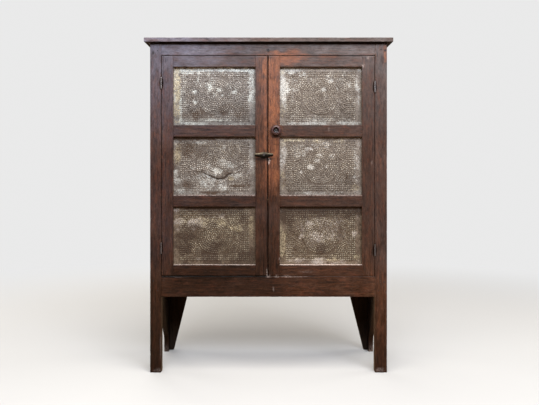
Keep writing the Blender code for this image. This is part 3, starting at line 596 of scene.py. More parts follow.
def section(low, high, radius, spans):
    """Points round a rectangle with rounded corners, for every station, with their outward normals and edge marks.
    low, high: (stations, 2). radius: (stations, 4). spans: how many cells the two kinds of side are cut in."""
    arcs, nick = 3, 0.14
    signs = np.array(((-1, -1), (1, -1), (1, 1), (-1, 1)))
    centres = [np.where(sign < 0, low, high) - radius[:, [k]] * sign for k, sign in enumerate(signs)]
    points, normals, edges = [], [], []
    for index in range(4):
        for step in range(arcs + 1):
            angle = math.pi + index * math.pi / 2 + step * math.pi / 2 / arcs
            normals.append((math.cos(angle), math.sin(angle)))
            points.append(centres[index] + radius[:, [index]] * np.array(normals[-1]))
            edges.append(1.0 if 0 < step < arcs else 0.75)
        after, cells = (index + 1) % 4, spans[index % 2]
        here, there = points[-1], centres[after] + radius[:, [after]] * np.array(normals[-1])
        places = [0.5] if cells < 2 else [nick / cells, *[k / cells for k in range(1, cells)], 1 - nick / cells]
        for place in places:
            points.append(here + (there - here) * place)
            normals.append(normals[-1])
            edges.append(0.35 if place in (places[0], places[-1]) else 0.0)
    return np.stack(points, 1), np.array(normals), np.array(edges)


def board(node, along, thin, clip=None, profile=None, breaks=(), wide_range=None, radius=0.0013, step=0.007,
          material=OLD_FINISH, slot="old_finish", paint=paint_old, warp=0.00022, seed=0, ragged=1.0, hollows=(0, ()),
          spread=0.04):
    """A sawn board with worn, chipped edges and a planed, slightly hollow face, along a world axis.
    hollows: a corner and the heights where it is cut away for fingers. spread: how far its tone may differ."""
    low, high = box(node)
    wide = 3 - along - thin
    if clip:
        low[along], high[along] = clip
    if wide_range:
        low[wide], high[wide] = wide_range
    end = radius * 0.9
    count = max(2, round((high[along] - low[along] - 2 * end) / step))
    stations = np.linspace(low[along] + end, high[along] - end, count + 1)
    for place in breaks:
        stations = stations[abs(stations - place) > 0.0012]
        stations = np.append(stations, [place - 0.0003, place + 0.0003])
    turns = np.radians([0.0, 30.0, 60.0])
    head = low[along] + end - end * np.cos(turns)
    tail = (high[along] - end + end * np.cos(turns))[::-1]
    stations = np.concatenate([head, np.sort(stations), tail])
    inset = np.zeros(len(stations))
    inset[:3] = end - end * np.sin(turns)
    inset[-3:] = inset[:3][::-1]

    low2, high2 = (np.tile(corner[[wide, thin]], (len(stations), 1)) for corner in (low, high))
    if profile:
        low2[:, 0], high2[:, 0] = profile(stations)
    low2, high2 = low2 + inset[:, None], high2 - inset[:, None]
    radii = np.empty((len(stations), 4))
    for corner in range(4):
        probe = [(place, corner * 3.0, seed * 1.3) for place in stations]
        chipped = 1.5 * smooth(0.35, 0.9, field(probe, (0.016, 1, 1), 12))
        radii[:, corner] = radius * (0.75 + ragged * (0.45 * field(probe, (0.05, 1, 1), 11) + chipped))
    for place in hollows[1]:
        cut = 1 - smooth(0.75, 1.0, abs(stations - place) / FINGER_HALF)
        radii[:, hollows[0]] = np.maximum(radii[:, hollows[0]], FINGER_RADIUS * cut)
    radii = np.minimum(radii, 0.35 * np.min(high2 - low2, axis=1)[:, None])
    spans = [max(1, round((high[axis] - low[axis]) / step)) for axis in (wide, thin)]
    ring, normal, edge = section(low2, high2, radii, spans)

    count = len(edge)
    points, normals = np.zeros((2, len(stations), count, 3))
    points[..., along] = stations[:, None]
    points[..., [wide, thin]], normals[..., [wide, thin]] = ring, normal
    points, normals = points.reshape(-1, 3), normals.reshape(-1, 3)
    lengthwise = np.arange(3) == along
    hollow = warp * (0.5 + 0.5 * field(points, np.where(lengthwise, 0.22, 0.030), seed + 21))
    hollow += warp * 1.6 * smooth(0.45, 0.95, field(points, np.where(lengthwise, 0.030, 0.009), seed + 22))
    points = points - normals * (hollow * np.repeat(1.0 - smooth(0.0, end * 0.9, inset), count))[:, None]
    faces = tube(len(stations), count)
    if (wide, thin, along) in ((0, 2, 1), (1, 0, 2), (2, 1, 0)):
        faces = [face[::-1] for face in faces]

    mask, haze = np.zeros((len(points), 4)), np.zeros(len(points))
    tone = np.full(len(points), 1.0 + spread * drawn(seed * 3.71, 43))
    worn = np.tile(edge, len(stations))
    worn[:3 * count] += 0.8
    worn[-3 * count:] += 0.8
    rubbed = np.clip(np.clip(worn, 0, 1) * (0.72 + 0.45 * field(points, 0.035, seed + 31)), 0, 1)
    mask[:, EDGE] = np.maximum(rubbed, 0.34 * (1 - smooth(0.30, 0.62, points[:, Z])))
    paint(points, normals, mask, tone, haze)
    grain = points[:, [along, wide, thin]] + [drawn(seed * 7.13, 41, axis) * 3 for axis in range(3)]
    add_piece(node + "_board", (points, faces), NODES[node]["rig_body"], slot, material, (node,), (-2, -1),
              grain=grain, mask=mask, tone=tone, haze=np.clip(haze, 0, 1))


# ---------------------------------------------------------------- case and doors

FINGER_HALF, FINGER_RADIUS = 0.027, 0.0065      # the hollows beside the hinges
SIDE_CUT = ((0.0, 0.070, 0.318), (0.1685, 0.1625, -0.0895))     # heights and depths of the side boards' cut
BACK_CUT = 0.330          # height where the back boards' feet begin
PINE = dict(radius=0.0016, material=BARE_PINE, slot="bare_pine", paint=paint_pine)
BACK_PINE = dict(PINE, radius=0.0034, paint=paint_back, spread=0.30)


def pin_heights(side):
    return [middle_of("%s_%s_hinge_pin" % (side, place))[Z] for place in ("lower", "upper")]


def notched(low_y):
    """Depth range of a floor or shelf, cut round the posts at its front corners."""
    back = box("lower_shelf")[1][Y]
    return lambda s: (np.where((s < POST_INNER[0] + SEAM) | (s > POST_INNER[1] - SEAM), POST_BACK + SEAM, low_y), back)


def side_profile(s):
    return np.where(s > SIDE_CUT[0][-1], POST_BACK + SEAM, np.interp(s, *SIDE_CUT)), box("side_board_left")[1][Y]


def back_profile(side):
    """Width range of an outer back board, which tapers to its foot."""
    low, high = box("back_board_" + side)

    def tapered(s):
        cut = -0.447 + 0.25 * s
        if side == "left":
            return low[X], np.where(s > BACK_CUT, high[X], cut)
        return np.where(s > BACK_CUT, low[X], -cut), high[X]
    return tapered


def build_case():
    inner = (POST_INNER[0] + SEAM, POST_INNER[1] - SEAM)
    for index, side in enumerate(SIDES):
        board("front_post_" + side, Z, Y, radius=0.0022, seed=1 + index, hollows=(1 - index, pin_heights(side)))
    board("case_top_rail", X, Y, clip=inner, radius=0.0010, step=0.005, seed=3)
    board("case_bottom_rail", X, Y, clip=inner, radius=0.0018, step=0.005, seed=4)
    for index, side in enumerate(SIDES):
        board("side_board_" + side, Z, X, profile=side_profile, breaks=(SIDE_CUT[0][-1],), radius=0.0016, step=0.010,
              paint=paint_side, seed=5 + index)
        board("back_board_" + side, Z, Y, profile=back_profile(side), breaks=(BACK_CUT,), seed=7 + index, **BACK_PINE)
        low, high = box("back_board_middle_" + side)
        board("back_board_middle_" + side, Z, Y, seed=9 + index, **BACK_PINE,
              wide_range=(low[X] - (0.0008, 0.0004)[index], high[X] + (0.0004, 0.0008)[index]))
        for number, level in enumerate(LEVELS):
            board("%s_cleat_%s" % (level, side), Y, Z, step=0.010, seed=11 + index + 2 * number, **PINE)
    for number, level in enumerate(LEVELS):
        board(level, X, Z, profile=notched(box(level)[0][Y]), breaks=inner, step=0.010, seed=21 + number, **PINE)
    top = dict(radius=0.0014, material=DRY_FINISH, paint=paint_top, warp=0.0004)
    board("top_board_front", X, Z, step=0.008, ragged=0.3, seed=31, **top)
    board("top_board_rear", X, Z, step=0.010, ragged=0.5, seed=32, **top,
          wide_range=(TOP_JOINT - 0.0008, box("top_board_rear")[1][Y]))


def build_door(side, seed):
    stiles = [corner[X] for stile in ("hinge", "meeting") for corner in box("%s_door_%s_stile" % (side, stile))]
    low, high = sorted(stiles)[1:3]
    board(side + "_door_hinge_stile", Z, Y, step=0.005, radius=0.0011, seed=seed,
          hollows=(SIDES.index(side), pin_heights(side)))
    board(side + "_door_meeting_stile", Z, Y, step=0.005, radius=0.0016, seed=seed + 1)
    for number, rail in enumerate(("bottom", "lower", "upper", "top")):
        board("%s_door_%s_rail" % (side, rail), X, Y, clip=(low + SEAM, high - SEAM), step=0.005, radius=0.0010,
              paint=paint_rail, seed=seed + 2 + number)


# ---------------------------------------------------------------- punched tins

PALE, RUST_AND_SHADOW, YELLOW, LIP_WEAR_AND_GLINT = range(4)       # a tin's masks
LAP = 0.006               # how far a tin reaches behind the frame
SIDE_MARGIN, END_MARGIN = 0.030, 0.020
PITCH = 0.0082            # from one row of punches to the next
PUNCH_GAP = 0.0062        # least distance between the middles of two punches
PUNCH_SIDES, PUNCH_RADIUS = 6, 0.0032
GRID = 0.009              # cells of the sheet between the punches
TEAR_POINTS = 13


def punch_places(width, height, rng):
    """(x, z, angle) of every punch from the middle of the opening: three rows round the edge, rings in the middle,
    and arcs about the corners and the middles of the short sides."""
    half_x, half_z = width / 2 - SIDE_MARGIN, height / 2 - END_MARGIN
    inner_x, inner_z = half_x - 3 * PITCH, half_z - 3 * PITCH
    columns, rows = int(half_x / PITCH), round(2 * half_z / PITCH)
    grid = [(column * half_x / columns, half_z - row * 2 * half_z / rows, 0.0)
            for row in range(rows + 1) for column in range(-columns, columns + 1)]
    places = [(x, z, angle) for x, z, angle in grid if abs(x) > inner_x + 0.001 or abs(z) > inner_z + 0.001]

    def nearest(x, z):
        return np.min(np.hypot(*(np.array(places)[:, :2] - (x, z)).T))

    def arcs(centre_x, centre_z, limit, start, sweep):
        closed = sweep > 6
        for ring in range(1, int(limit / PITCH) + 1):
            radius = ring * PITCH
            count = max(6 if closed else 2, int(radius * sweep / 0.0080))
            for number in range(count + (not closed)):
                angle = start + sweep * number / count
                x, z = centre_x + radius * math.cos(angle), centre_z + radius * math.sin(angle)
                if abs(x) < inner_x + 0.0022 and abs(z) < inner_z + 0.0022 and nearest(x, z) > PUNCH_GAP:
                    places.append((x, z, angle + math.pi / 2))

    middle = inner_z + 0.001
    arcs(0, 0, middle, 0.0, 2 * math.pi)
    reach = math.hypot(inner_x, inner_z) - middle - 0.002
    for sign_x, starts in ((-1, (0.0, 1.5)), (1, (0.5, 1.0))):
        for sign_z, start in zip((-1, 1), starts):
            arcs(sign_x * inner_x, sign_z * inner_z, reach, start * math.pi, math.pi / 2)
        arcs(sign_x * inner_x, 0, inner_x - middle, sign_x * math.pi / 2, math.pi)
    kept = [place for place in places if rng.random() > 0.012]
    return [(x + rng.normal(0, 0.0003), z + rng.normal(0, 0.0003), a + rng.normal(0, 0.10)) for x, z, a in kept]


def line_distance(points, line):
    """Distance of each point from a broken line, and how far it lies above it."""
    best, above = np.full(len(points), 9.0), np.zeros(len(points))
    for a, b in zip(line, line[1:]):
        share = np.clip((points - a) @ (b - a) / ((b - a) @ (b - a)), 0, 1)
        offset = points - (a + share[:, None] * (b - a))
        away = np.hypot(*offset.T)
        closer = away < best
        best, above = np.where(closer, away, best), np.where(closer, offset[:, 1], above)
    return best, above


def rotation(angle):
    """Matrix that turns rows of two numbers by an angle."""
    return np.array([[math.cos(angle), math.sin(angle)], [-math.sin(angle), math.cos(angle)]])


def build_tin(side, row, seed, shade, warm, dirt, lean, pale, rust, yellow, dots, tear=(), fold=()):
    """A sheet of tinplate, punched from behind so that every hole has a raised ragged lip in front."""
    node = "%s_door_%s_tin" % (side, row)
    rng = np.random.default_rng(seed)
    low, high = box(node)
    centre, (full_x, thick, full_z) = (low + high) / 2, high - low
    width, height = full_x - 2 * LAP, full_z - 2 * LAP
    holes, tear_line, fold_line = ([np.array([(u / 100 - 0.5) * width, (0.5 - v / 100) * height]) for u, v in line]
                                   for line in (dots, tear, fold))

    rings = []                      # (outer ring, middle ring, lip, middle ring's height, lip's height)
    unit = np.array([[math.cos(k * 2 * math.pi / PUNCH_SIDES), math.sin(k * 2 * math.pi / PUNCH_SIDES)]
                     for k in range(PUNCH_SIDES)])
    places = [(x, z, angle) for x, z, angle in punch_places(width, height, rng)
              if all(math.hypot(x - hole[0], z - hole[1]) > PUNCH_GAP for hole in holes)]
    spots = np.array(places)[:, :2]
    for index, (x, z, angle) in enumerate(places):
        away = np.hypot(*(spots - (x, z)).T)
        away[index] = 1.0
        size = min(rng.uniform(0.86, 1.08), away.min() * 0.49 / PUNCH_RADIUS)
        lift = rng.uniform(0.6, 1.25) * 0.0015
        if tear and line_distance(spots[[index]], tear_line)[0][0] < 0.0070:
            continue
        if tear and abs(x / width) < 0.17 and z / height < -0.20:
            lift *= 0.35
        outer, inner, lip = ((unit * (a * size, b * size)) @ rotation(angle) + (x, z)
                             for a, b in ((PUNCH_RADIUS, 0.0029), (0.0024, 0.0020), (0.0015, 0.0010)))
        rings.append((outer, inner, lip, lift * 0.5, lift * rng.uniform(0.75, 1.25, PUNCH_SIDES)))
    for hole in holes:
        rings.append((*(unit * a + hole for a in (0.0022, 0.0019, 0.0014)), 0.0, np.full(PUNCH_SIDES, -0.0002)))
    if tear:
        line, share = np.array(tear_line), np.linspace(0, 1, TEAR_POINTS)
        along = np.column_stack([np.interp(share, np.linspace(0, 1, len(line)), line[:, k]) for k in (0, 1)])
        half = 0.0011 * np.sin(share * math.pi)[1:-1]

        def lens(scale):
            """The tear's outline, so many times as wide as it gapes."""
            upper, lower = along.copy(), along.copy()
            upper[1:-1, 1] += half * scale
            lower[1:-1, 1] -= half * scale
            upper[[0, -1]] += (along[[0, -1]] - along.mean(0)) * 0.03 * (scale - 0.5)
            return np.vstack([upper, lower[1:-1][::-1]])
        lift = np.full(2 * TEAR_POINTS - 2, 0.0002)
        lift[1:TEAR_POINTS - 1] = 0.0018
        lift[[0, TEAR_POINTS - 1]] = 0.0
        rings.append((lens(2.0), lens(1.4), lens(1.0), lift * 0.5, lift))

    outer = [ring[0] for ring in rings]
    sizes = [len(ring) for ring in outer]
    total = sum(sizes)
    centres = np.array([ring.mean(0) for ring in outer])
    across, down = (np.linspace(-edge, edge, round(2 * edge / GRID) + 1)
                    for edge in (width / 2 + LAP, height / 2 + LAP))
    border = ([(x, down[0]) for x in across[:-1]] + [(across[-1], z) for z in down[:-1]]
              + [(x, down[-1]) for x in across[:0:-1]] + [(across[0], z) for z in down[:0:-1]])
    grid = np.array([(x, z) for x in across[1:-1] for z in down[1:-1]])
    grid = grid + rng.uniform(-0.0012, 0.0012, grid.shape)
    grid = grid[[np.min(np.hypot(*(centres - place).T)) > 0.0045 for place in grid]]
    if tear:
        grid = grid[line_distance(grid, tear_line)[0] > 0.0055]
    base = np.vstack([*outer, border, grid])
    edges, start = [], 0
    for size in (*sizes, len(border)):
        edges += [(start + k, start + (k + 1) % size) for k in range(size)]
        start += size
    made = geometry.delaunay_2d_cdt([Vector(place) for place in base], edges, [], 0, 1e-7)
    if len(made[0]) != len(base):
        raise ValueError("%s: punches overlap" % node)
    triangles = np.array(made[2])
    owner = np.full(len(base), -1)
    owner[:total] = np.repeat(np.arange(len(rings)), sizes)
    owners = owner[triangles]
    inside = (owners[:, 0] >= 0) & np.all(owners == owners[:, :1], axis=1)
    if tear:
        slit, rim = np.all(owners == len(rings) - 1, axis=1), outer[-1]
        upper, lower = rim[:TEAR_POINTS], rim[[0, *range(len(rim) - 1, TEAR_POINTS - 2, -1)]]
        x, z = base[triangles[slit]].mean(1).T
        inside[slit] = (z < np.interp(x, *upper.T)) & (z > np.interp(x, *lower.T))
    triangles = triangles[~inside]
    corners = base[triangles]
    turned = np.cross(corners[:, 1] - corners[:, 0], corners[:, 2] - corners[:, 0]) < 0
    triangles[turned] = triangles[turned][:, ::-1]          # counter-clockwise in x, z: they look along -y

    flat = np.vstack([base, *[ring[1] for ring in rings], *[ring[2] for ring in rings]])
    lift = np.concatenate([np.zeros(len(base)), *[np.broadcast_to(ring[3], len(ring[1])) for ring in rings],
                           *[ring[4] for ring in rings]])
    count, inner, lips = len(flat), len(base), len(base) + total
    front, walls = triangles.tolist(), []
    for a, b in edges[:total]:
        front += [(a, b, inner + b, inner + a), (inner + a, inner + b, lips + b, lips + a)]
        walls.append((lips + a, lips + b, lips + b + count, lips + a + count))
    walls += [(b, a, a + count, b + count) for a, b in edges[total:]]
    faces = front + [tuple(i + count for i in face[::-1]) for face in front] + walls

    u, v = flat[:, 0] / width + 0.5, 0.5 - flat[:, 1] / height
    free = np.clip(1 - (2 * u - 1) ** 4, 0, 1) * np.clip(1 - (2 * v - 1) ** 4, 0, 1)
    probe = np.column_stack([flat, np.full(count, seed * 0.37)])
    bulge = free * 0.0011 * (1.0 + field(probe, 0.07, seed) + 0.35 * field(probe, 0.025, seed + 1))
    mask = np.zeros((count, 4))
    if tear:
        away, above = line_distance(flat, tear_line)
        bulge += free * np.where(above > 0, 0.0035 * np.exp(-away / 0.016), -0.0018 * np.exp(-away / 0.022))
        centred = 1 - abs(flat[:, 0] / width - 0.03) / 0.22
        mask[:, RUST_AND_SHADOW] += 1.4 * (1 - smooth(0.001, 0.0050, away)) * np.clip(centred, 0, 1)
    if fold:
        bulge += free * 0.0016 * np.exp(-line_distance(flat, fold_line)[0] / 0.006)
    world = np.column_stack([centre[X] + flat[:, 0], centre[Y] - thick / 2 - bulge - lift, centre[Z] + flat[:, 1]])

    ragged = 0.30 * field(probe, 0.012, seed + 3) + 0.20 * field(probe, 0.030, seed + 4)
    for kind, table in ((PALE, pale), (RUST_AND_SHADOW, rust), (YELLOW, yellow)):
        for place_u, place_v, half_u, half_v, strength in np.array(table) / 100:
            away = np.hypot((u - place_u) / half_u, (v - place_v) / half_v) + ragged
            mask[:, kind] += strength * (1 - smooth(0.55, 1.15, away))
    # the raised lips: worn, and given a painted highlight
    mask[inner:lips, LIP_WEAR_AND_GLINT], mask[lips:, LIP_WEAR_AND_GLINT] = 0.60, 1.0
    mask[:, RUST_AND_SHADOW] += dirt * smooth(0.0, 0.6, field(probe, 0.040, seed + 7))
    mask[:, PALE] += 0.40 * smooth(0.1, 0.7, field(probe, 0.024, seed + 8)) * (1 - dirt)
    mask = np.clip(mask, 0, 1)
    margin = np.minimum((width / 2 - SIDE_MARGIN + 0.004) - abs(flat[:, 0]),
                        (height / 2 - END_MARGIN + 0.004) - abs(flat[:, 1]))
    grime = 0.45 + 0.55 * smooth(-0.002, 0.004, margin)
    tone = 1 + lean[0] * (u - 0.5) + lean[1] * (v - 0.5) + 0.08 * field(probe, 0.05, seed + 9)
    add_piece(node + "_sheet", (np.vstack([world, world + (0, thick, 0)]), faces), side + "_door", "tinplate",
              tinplate("%s_%s_tinplate" % (side, row), shade, warm, seed), (node,), sharp=50.0,
              mask=np.vstack([mask, mask * 0.5]), grime=np.tile(grime, 2), tone=np.tile(tone, 2))


# door, row, seed, shade, warmth, dirt and how its tone leans; then pale, rusty and yellow patches, (across, down, half
# width, half height, strength), bare holes, and the tear and fold of a crease, in hundredths of the opening; the rusty
# patches along the top edge of the middle and lower tins are also painted shadow under the rail above
TINS = (
    ("left", "upper", 61, 1.00, 0.05, 0.25, (-0.08, -0.5), (
        (2, 56, 3, 5, 90), (2, 30, 5, 40, 45), (30, 90, 28, 5, 35), (8, 72, 2, 25, 60), (36, 4, 14, 4, 80),
        (56, 5, 8, 3, 40), (75, 4, 15, 4.5, 85), (95, 38, 5, 30, 65), (92, 60, 2, 14, 50), (28, 97, 22, 3.5, 80),
        (75, 98, 25, 3, 45), (25, 42, 3.5, 4.5, 80), (26, 59, 3.5, 5, 80), (45, 36, 3.5, 6, 70), (56, 40, 3, 5, 60),
        (59, 49, 2, 3, 80), (75, 44, 4, 5, 50), (30, 15, 2, 12, 60), (50, 6, 50, 10, 40), (48, 35, 30, 16, 22),
        (45, 92, 20, 3, 40), (6, 45, 11, 50, 36), (92, 5, 10, 6, 50), (14, 6, 16, 6, 60), (55, 90, 22, 5, 35),
        (42, 27, 10, 10, 30), (75, 30, 10, 10, 25)),
     ((20, 52, 10, 6, 45), (63, 55, 5, 5, 40), (47, 56, 5, 5, 30), (30, 84, 24, 14, 62), (70, 75, 22, 14, 40),
        (85, 85, 15, 15, 25), (5, 2, 10, 3, 30)),
     ((3, 25, 7, 35, 85), (3, 75, 6, 30, 75), (19, 3, 7, 4, 60)),
     ((2.5, 40), (6, 58), (5.5, 90))),
    ("right", "upper", 62, 1.02, 0.4, 0.15, (-0.18, -0.36), (
        (5, 32, 6.5, 26, 100), (6, 62, 4, 12, 60), (94, 32, 3.5, 11, 90), (96.5, 62, 2, 20, 50), (35, 97, 30, 3, 70),
        (80, 96, 20, 3.5, 80), (98, 3, 2, 4, 90), (54, 38, 3.5, 5, 75), (31, 14, 3, 5, 60), (25, 14, 3, 3, 60),
        (58, 16, 3, 4, 60), (62, 24, 3, 5, 60), (12, 6, 20, 8, 70), (20, 28, 12, 12, 38), (42, 22, 10, 12, 28),
        (80, 30, 14, 12, 28), (52, 92, 22, 7, 50)),
     ((18, 60, 10, 12, 22), (75, 21, 14, 4, 30), (92, 6, 8, 6, 35), (62, 80, 14, 10, 30), (93, 88, 8, 10, 35)),
     ((3, 75, 3.5, 18, 50), (4, 9, 6, 6, 60), (50, 4, 30, 3, 35), (50, 60, 20, 15, 15)),
     ((5.5, 29), (8.5, 18), (7, 38), (8, 24), (6.5, 49), (4, 6))),
    ("left", "middle", 63, 0.94, 0.3, 0.48, (0.0, 0.06), (
        (3.5, 10, 3.5, 10, 80), (2, 60, 4, 3, 100), (5, 74, 5, 16, 55), (95, 35, 4.5, 28, 60), (33, 10, 10, 3, 60),
        (62, 17, 4, 5, 60), (55, 58, 8, 7, 80), (43, 50, 4, 4, 50), (25, 55, 5, 5, 50), (42, 78, 12, 9, 30),
        (60, 82, 6, 14, 50), (40, 90, 40, 8, 28), (30, 72, 30, 12, 36), (42, 64, 14, 6, 40), (12, 93, 12, 8, 40),
        (70, 48, 22, 10, 28), (78, 64, 18, 8, 30), (40, 30, 10, 10, 32), (62, 47, 12, 8, 30), (80, 70, 8, 8, 30),
        (6, 93, 8, 8, 50)),
     ((30, 2, 30, 5, 90), (75, 2, 28, 4, 75), (51, 96.5, 20, 2.6, 140), (20, 25, 15, 20, 30), (55, 32, 22, 15, 22),
        (20, 82, 14, 14, 28), (85, 80, 12, 8, 35), (10, 3, 10, 6, 60), (92, 90, 10, 10, 35), (77, 85, 11, 3, 110),
        (66, 60, 10, 4, 50)),
     ((5, 28, 6, 25, 85), (70, 71, 5, 5, 60), (50, 24, 40, 20, 20)),
     ((2.5, 12), (6, 50)),
     ((34.5, 59.5), (45, 67), (54, 72), (62, 70.5), (66, 64), (71, 62)), ((54, 74), (54.5, 95))),
    ("right", "middle", 64, 0.98, 0.5, 0.3, (-0.1, -0.36), (
        (4, 35, 5, 30, 65), (97, 10, 3, 12, 60), (94, 45, 5, 20, 50), (55, 97, 45, 3, 60), (38, 53, 5, 5, 90),
        (27, 61, 3, 3, 90), (45, 40, 4, 4, 70), (57, 51, 3, 4, 70), (64, 33, 5, 5, 60), (47, 32, 5, 3, 70),
        (35, 22, 5, 6, 40), (25, 24, 13, 16, 42), (50, 14, 20, 7, 42), (45, 72, 10, 8, 30), (95, 93, 7, 8, 45),
        (94, 72, 6, 10, 35)),
     ((62, 3, 14, 5, 60), (90, 4, 12, 4, 50), (78, 68, 8, 12, 50), (12, 80, 8, 12, 30), (55, 78, 20, 12, 10)),
     ((3, 12, 4, 8, 60), (4, 72, 5, 25, 50), (20, 6, 18, 4, 80), (45, 7, 12, 4, 70), (72, 8, 10, 4, 60),
        (93, 88, 6, 7, 60), (80, 50, 8, 8, 30)),
     ((97, 50), (3, 90))),
    ("left", "lower", 65, 0.72, 1.05, 0.8, (-0.05, 0.0), (
        (3, 6, 5, 8, 70), (6, 30, 6, 14, 35), (13, 42, 12, 5, 40), (40, 26, 36, 15, 34), (14, 30, 12, 10, 30),
        (26, 38, 3, 4, 50), (57, 34, 5, 6, 40), (60, 17, 4, 4, 50), (40, 90, 25, 4, 35), (27, 29, 11, 10, 45)),
     ((12, 52, 16, 5, 80), (10, 68, 16, 20, 75), (62, 8, 25, 8, 60), (50, 0, 60, 5, 100), (45, 80, 45, 18, 35),
        (70, 50, 25, 8, 40), (25, 4, 22, 4, 70), (48, 62, 20, 10, 40), (85, 72, 15, 18, 35), (85, 26, 10, 5, 50),
        (96, 85, 5, 14, 60)),
     ((22, 27, 20, 18, 42), (55, 28, 25, 14, 40), (77, 38, 8, 7, 80), (95, 33, 4, 20, 70), (13, 43, 8, 5, 60),
        (55, 29, 11, 10, 40), (60, 72, 12, 10, 32)),
     ((95, 39),)),
    ("right", "lower", 66, 0.8, 1.05, 0.55, (-0.05, 0.1), (
        (2, 7, 2, 6, 80), (97, 5, 2.5, 6, 90), (96, 20, 3, 8, 50), (91, 48, 3, 6, 70), (22, 92, 12, 4, 55),
        (47, 94, 6, 5, 100), (35, 28, 6, 5, 50), (26, 53, 4, 6, 60), (55, 36, 34, 28, 40), (42, 62, 15, 16, 28),
        (50, 95, 48, 6, 55)),
     ((55, 8, 16, 8, 100), (25, 4, 25, 5, 80), (85, 4, 15, 5, 80), (10, 20, 10, 22, 75), (50, 0, 70, 15, 100),
        (50, 12, 55, 12, 55), (97, 30, 3, 20, 60), (20, 42, 12, 5, 40), (58, 75, 14, 12, 45), (85, 65, 10, 20, 30)),
     ((3, 58, 5, 35, 85), (4, 85, 5, 10, 70), (94, 87, 5, 6, 90), (65, 93, 12, 4, 80), (66, 86, 5, 5, 60),
        (30, 93, 30, 5, 40)),
     ((95, 27), (2, 42))),
)


# ---------------------------------------------------------------- turned and small pieces

FORWARD, BACKWARD, UP = (0, -1, 0), (0, 1, 0), (0, 0, 1)
SUNK = 0.0002             # how far a nail's place lies under the surface


def square_to(axis):
    """Two directions square to an axis and to each other, and the axis."""
    axis = np.array(axis, float)
    side = np.cross(axis, (0, 0, 1) if abs(axis[2]) < 0.9 else (1, 0, 0))
    side /= np.linalg.norm(side)
    return np.array([side, np.cross(axis, side), axis])


def lathe(rings, at, axis, sides, wobble=0.0, seed=0):
    """Verts and faces of a turned solid. rings: (radius, distance along the axis) from one end to the other."""
    side_a, side_b, axis = square_to(axis)
    turn = np.arange(sides) * 2 * math.pi / sides
    circle = np.outer(np.cos(turn), side_a) + np.outer(np.sin(turn), side_b)
    verts = np.vstack([np.array(at) + circle * radius + axis * along for radius, along in rings])
    return jittered(verts, wobble, 0.006, seed), tube(len(rings), sides)


def jittered(verts, amount, size, seed):
    """Points moved by smooth noise."""
    return verts + amount * np.column_stack([field(verts, size, seed + k) for k in range(3)]) if amount else verts


def screw_shape(at, axis, radius, proud, slot_angle):
    """A slotted countersunk head: a shallow dome cut by a slot, with the stub of its shank behind."""
    rings = ((0.30, -2.2), (0.32, -0.9), (0.96, -0.12), (1.0, 0.0), (0.93, 0.22), (0.62, 0.42), (0.30, 0.5),
             (0.05, 0.52))
    verts, faces = lathe([(radius * r, proud * d) for r, d in rings], (0, 0, 0), UP, 24)
    across = abs(verts[:, :2] @ rotation(-slot_angle))[:, 0]
    slot = proud * 0.62 * (1 - smooth(0.10, 0.22, across / radius))
    verts[:, Z] -= np.where(verts[:, Z] > 0.05 * proud, slot, 0)
    return verts @ square_to(axis) + np.array(at), faces


def nail_shape(at, axis, radius, proud, rng):
    """A cut nail's worn oval head, sunk in the wood."""
    rings = ((0.45, -0.0030), (0.5, -0.0010), (1.0, -0.0001), (1.0, proud * 0.55), (0.80, proud * 0.95), (0.35, proud))
    return lathe([(radius * r, d) for r, d in rings], at, axis, 10, radius * 0.10, int(rng.integers(1000)))


def add_nails(name, spots, proud, rng, body="root", slot="screw_steel", material=NAIL_IRON):
    """One piece of many nails. spots: (place, axis, radius)."""
    verts, faces, start = [], [], 0
    for at, axis, radius in spots:
        these_verts, these_faces = nail_shape(at, axis, radius, proud, rng)
        verts.append(these_verts)
        faces += [tuple(i + start for i in face) for face in these_faces]
        start += len(these_verts)
    add_piece(name, (np.vstack(verts), faces), body, slot, material)


def build_knob():
    low, high = box("knob")
    centre, full, reach = middle_of("knob"), (high[X] - low[X]) / 2, high[Y] - low[Y]
    centre[Y] = high[Y]
    outline = ((0.50, 0.0), (0.54, 0.02), (0.56, 0.07), (0.46, 0.12), (0.40, 0.22), (0.41, 0.32), (0.52, 0.42),
               (0.72, 0.49), (0.90, 0.56), (0.985, 0.64), (1.0, 0.70), (0.985, 0.76), (0.93, 0.82), (0.84, 0.87),
               (0.76, 0.90), (0.70, 0.91), (0.665, 0.93), (0.64, 0.97), (0.60, 1.0), (0.55, 0.995), (0.51, 0.95),
               (0.47, 0.86), (0.42, 0.80), (0.34, 0.775), (0.24, 0.77))
    verts, faces = lathe([(full * r, reach * d) for r, d in outline], centre, FORWARD, 48, 0.00012, 5)
    # painted light: the knob's rim, in front, lightened as a highlight, and its dished middle darkened as shade
    share = np.hypot(verts[:, X] - centre[X], verts[:, Z] - centre[Z]) / full
    ahead = smooth(0.60, 0.80, (high[Y] - verts[:, Y]) / reach)
    rim = smooth(0.50, 0.62, share) * (1 - smooth(0.90, 0.99, share))
    add_piece("knob_turned", (verts, faces), "right_door", "turned_wood", KNOB_WOOD, ("knob",), (-1,),
              tone=0.8 + 2.2 * ahead * rim - 0.5 * ahead * (share < 0.5))
    at = centre - (0, reach * 0.77 + 0.0012, 0)
    add_piece("knob_screw_head", screw_shape(at, FORWARD, 0.0036, 0.0024, 0.6), "right_door", "screw_steel",
              DARK_STEEL, ("knob_screw",))


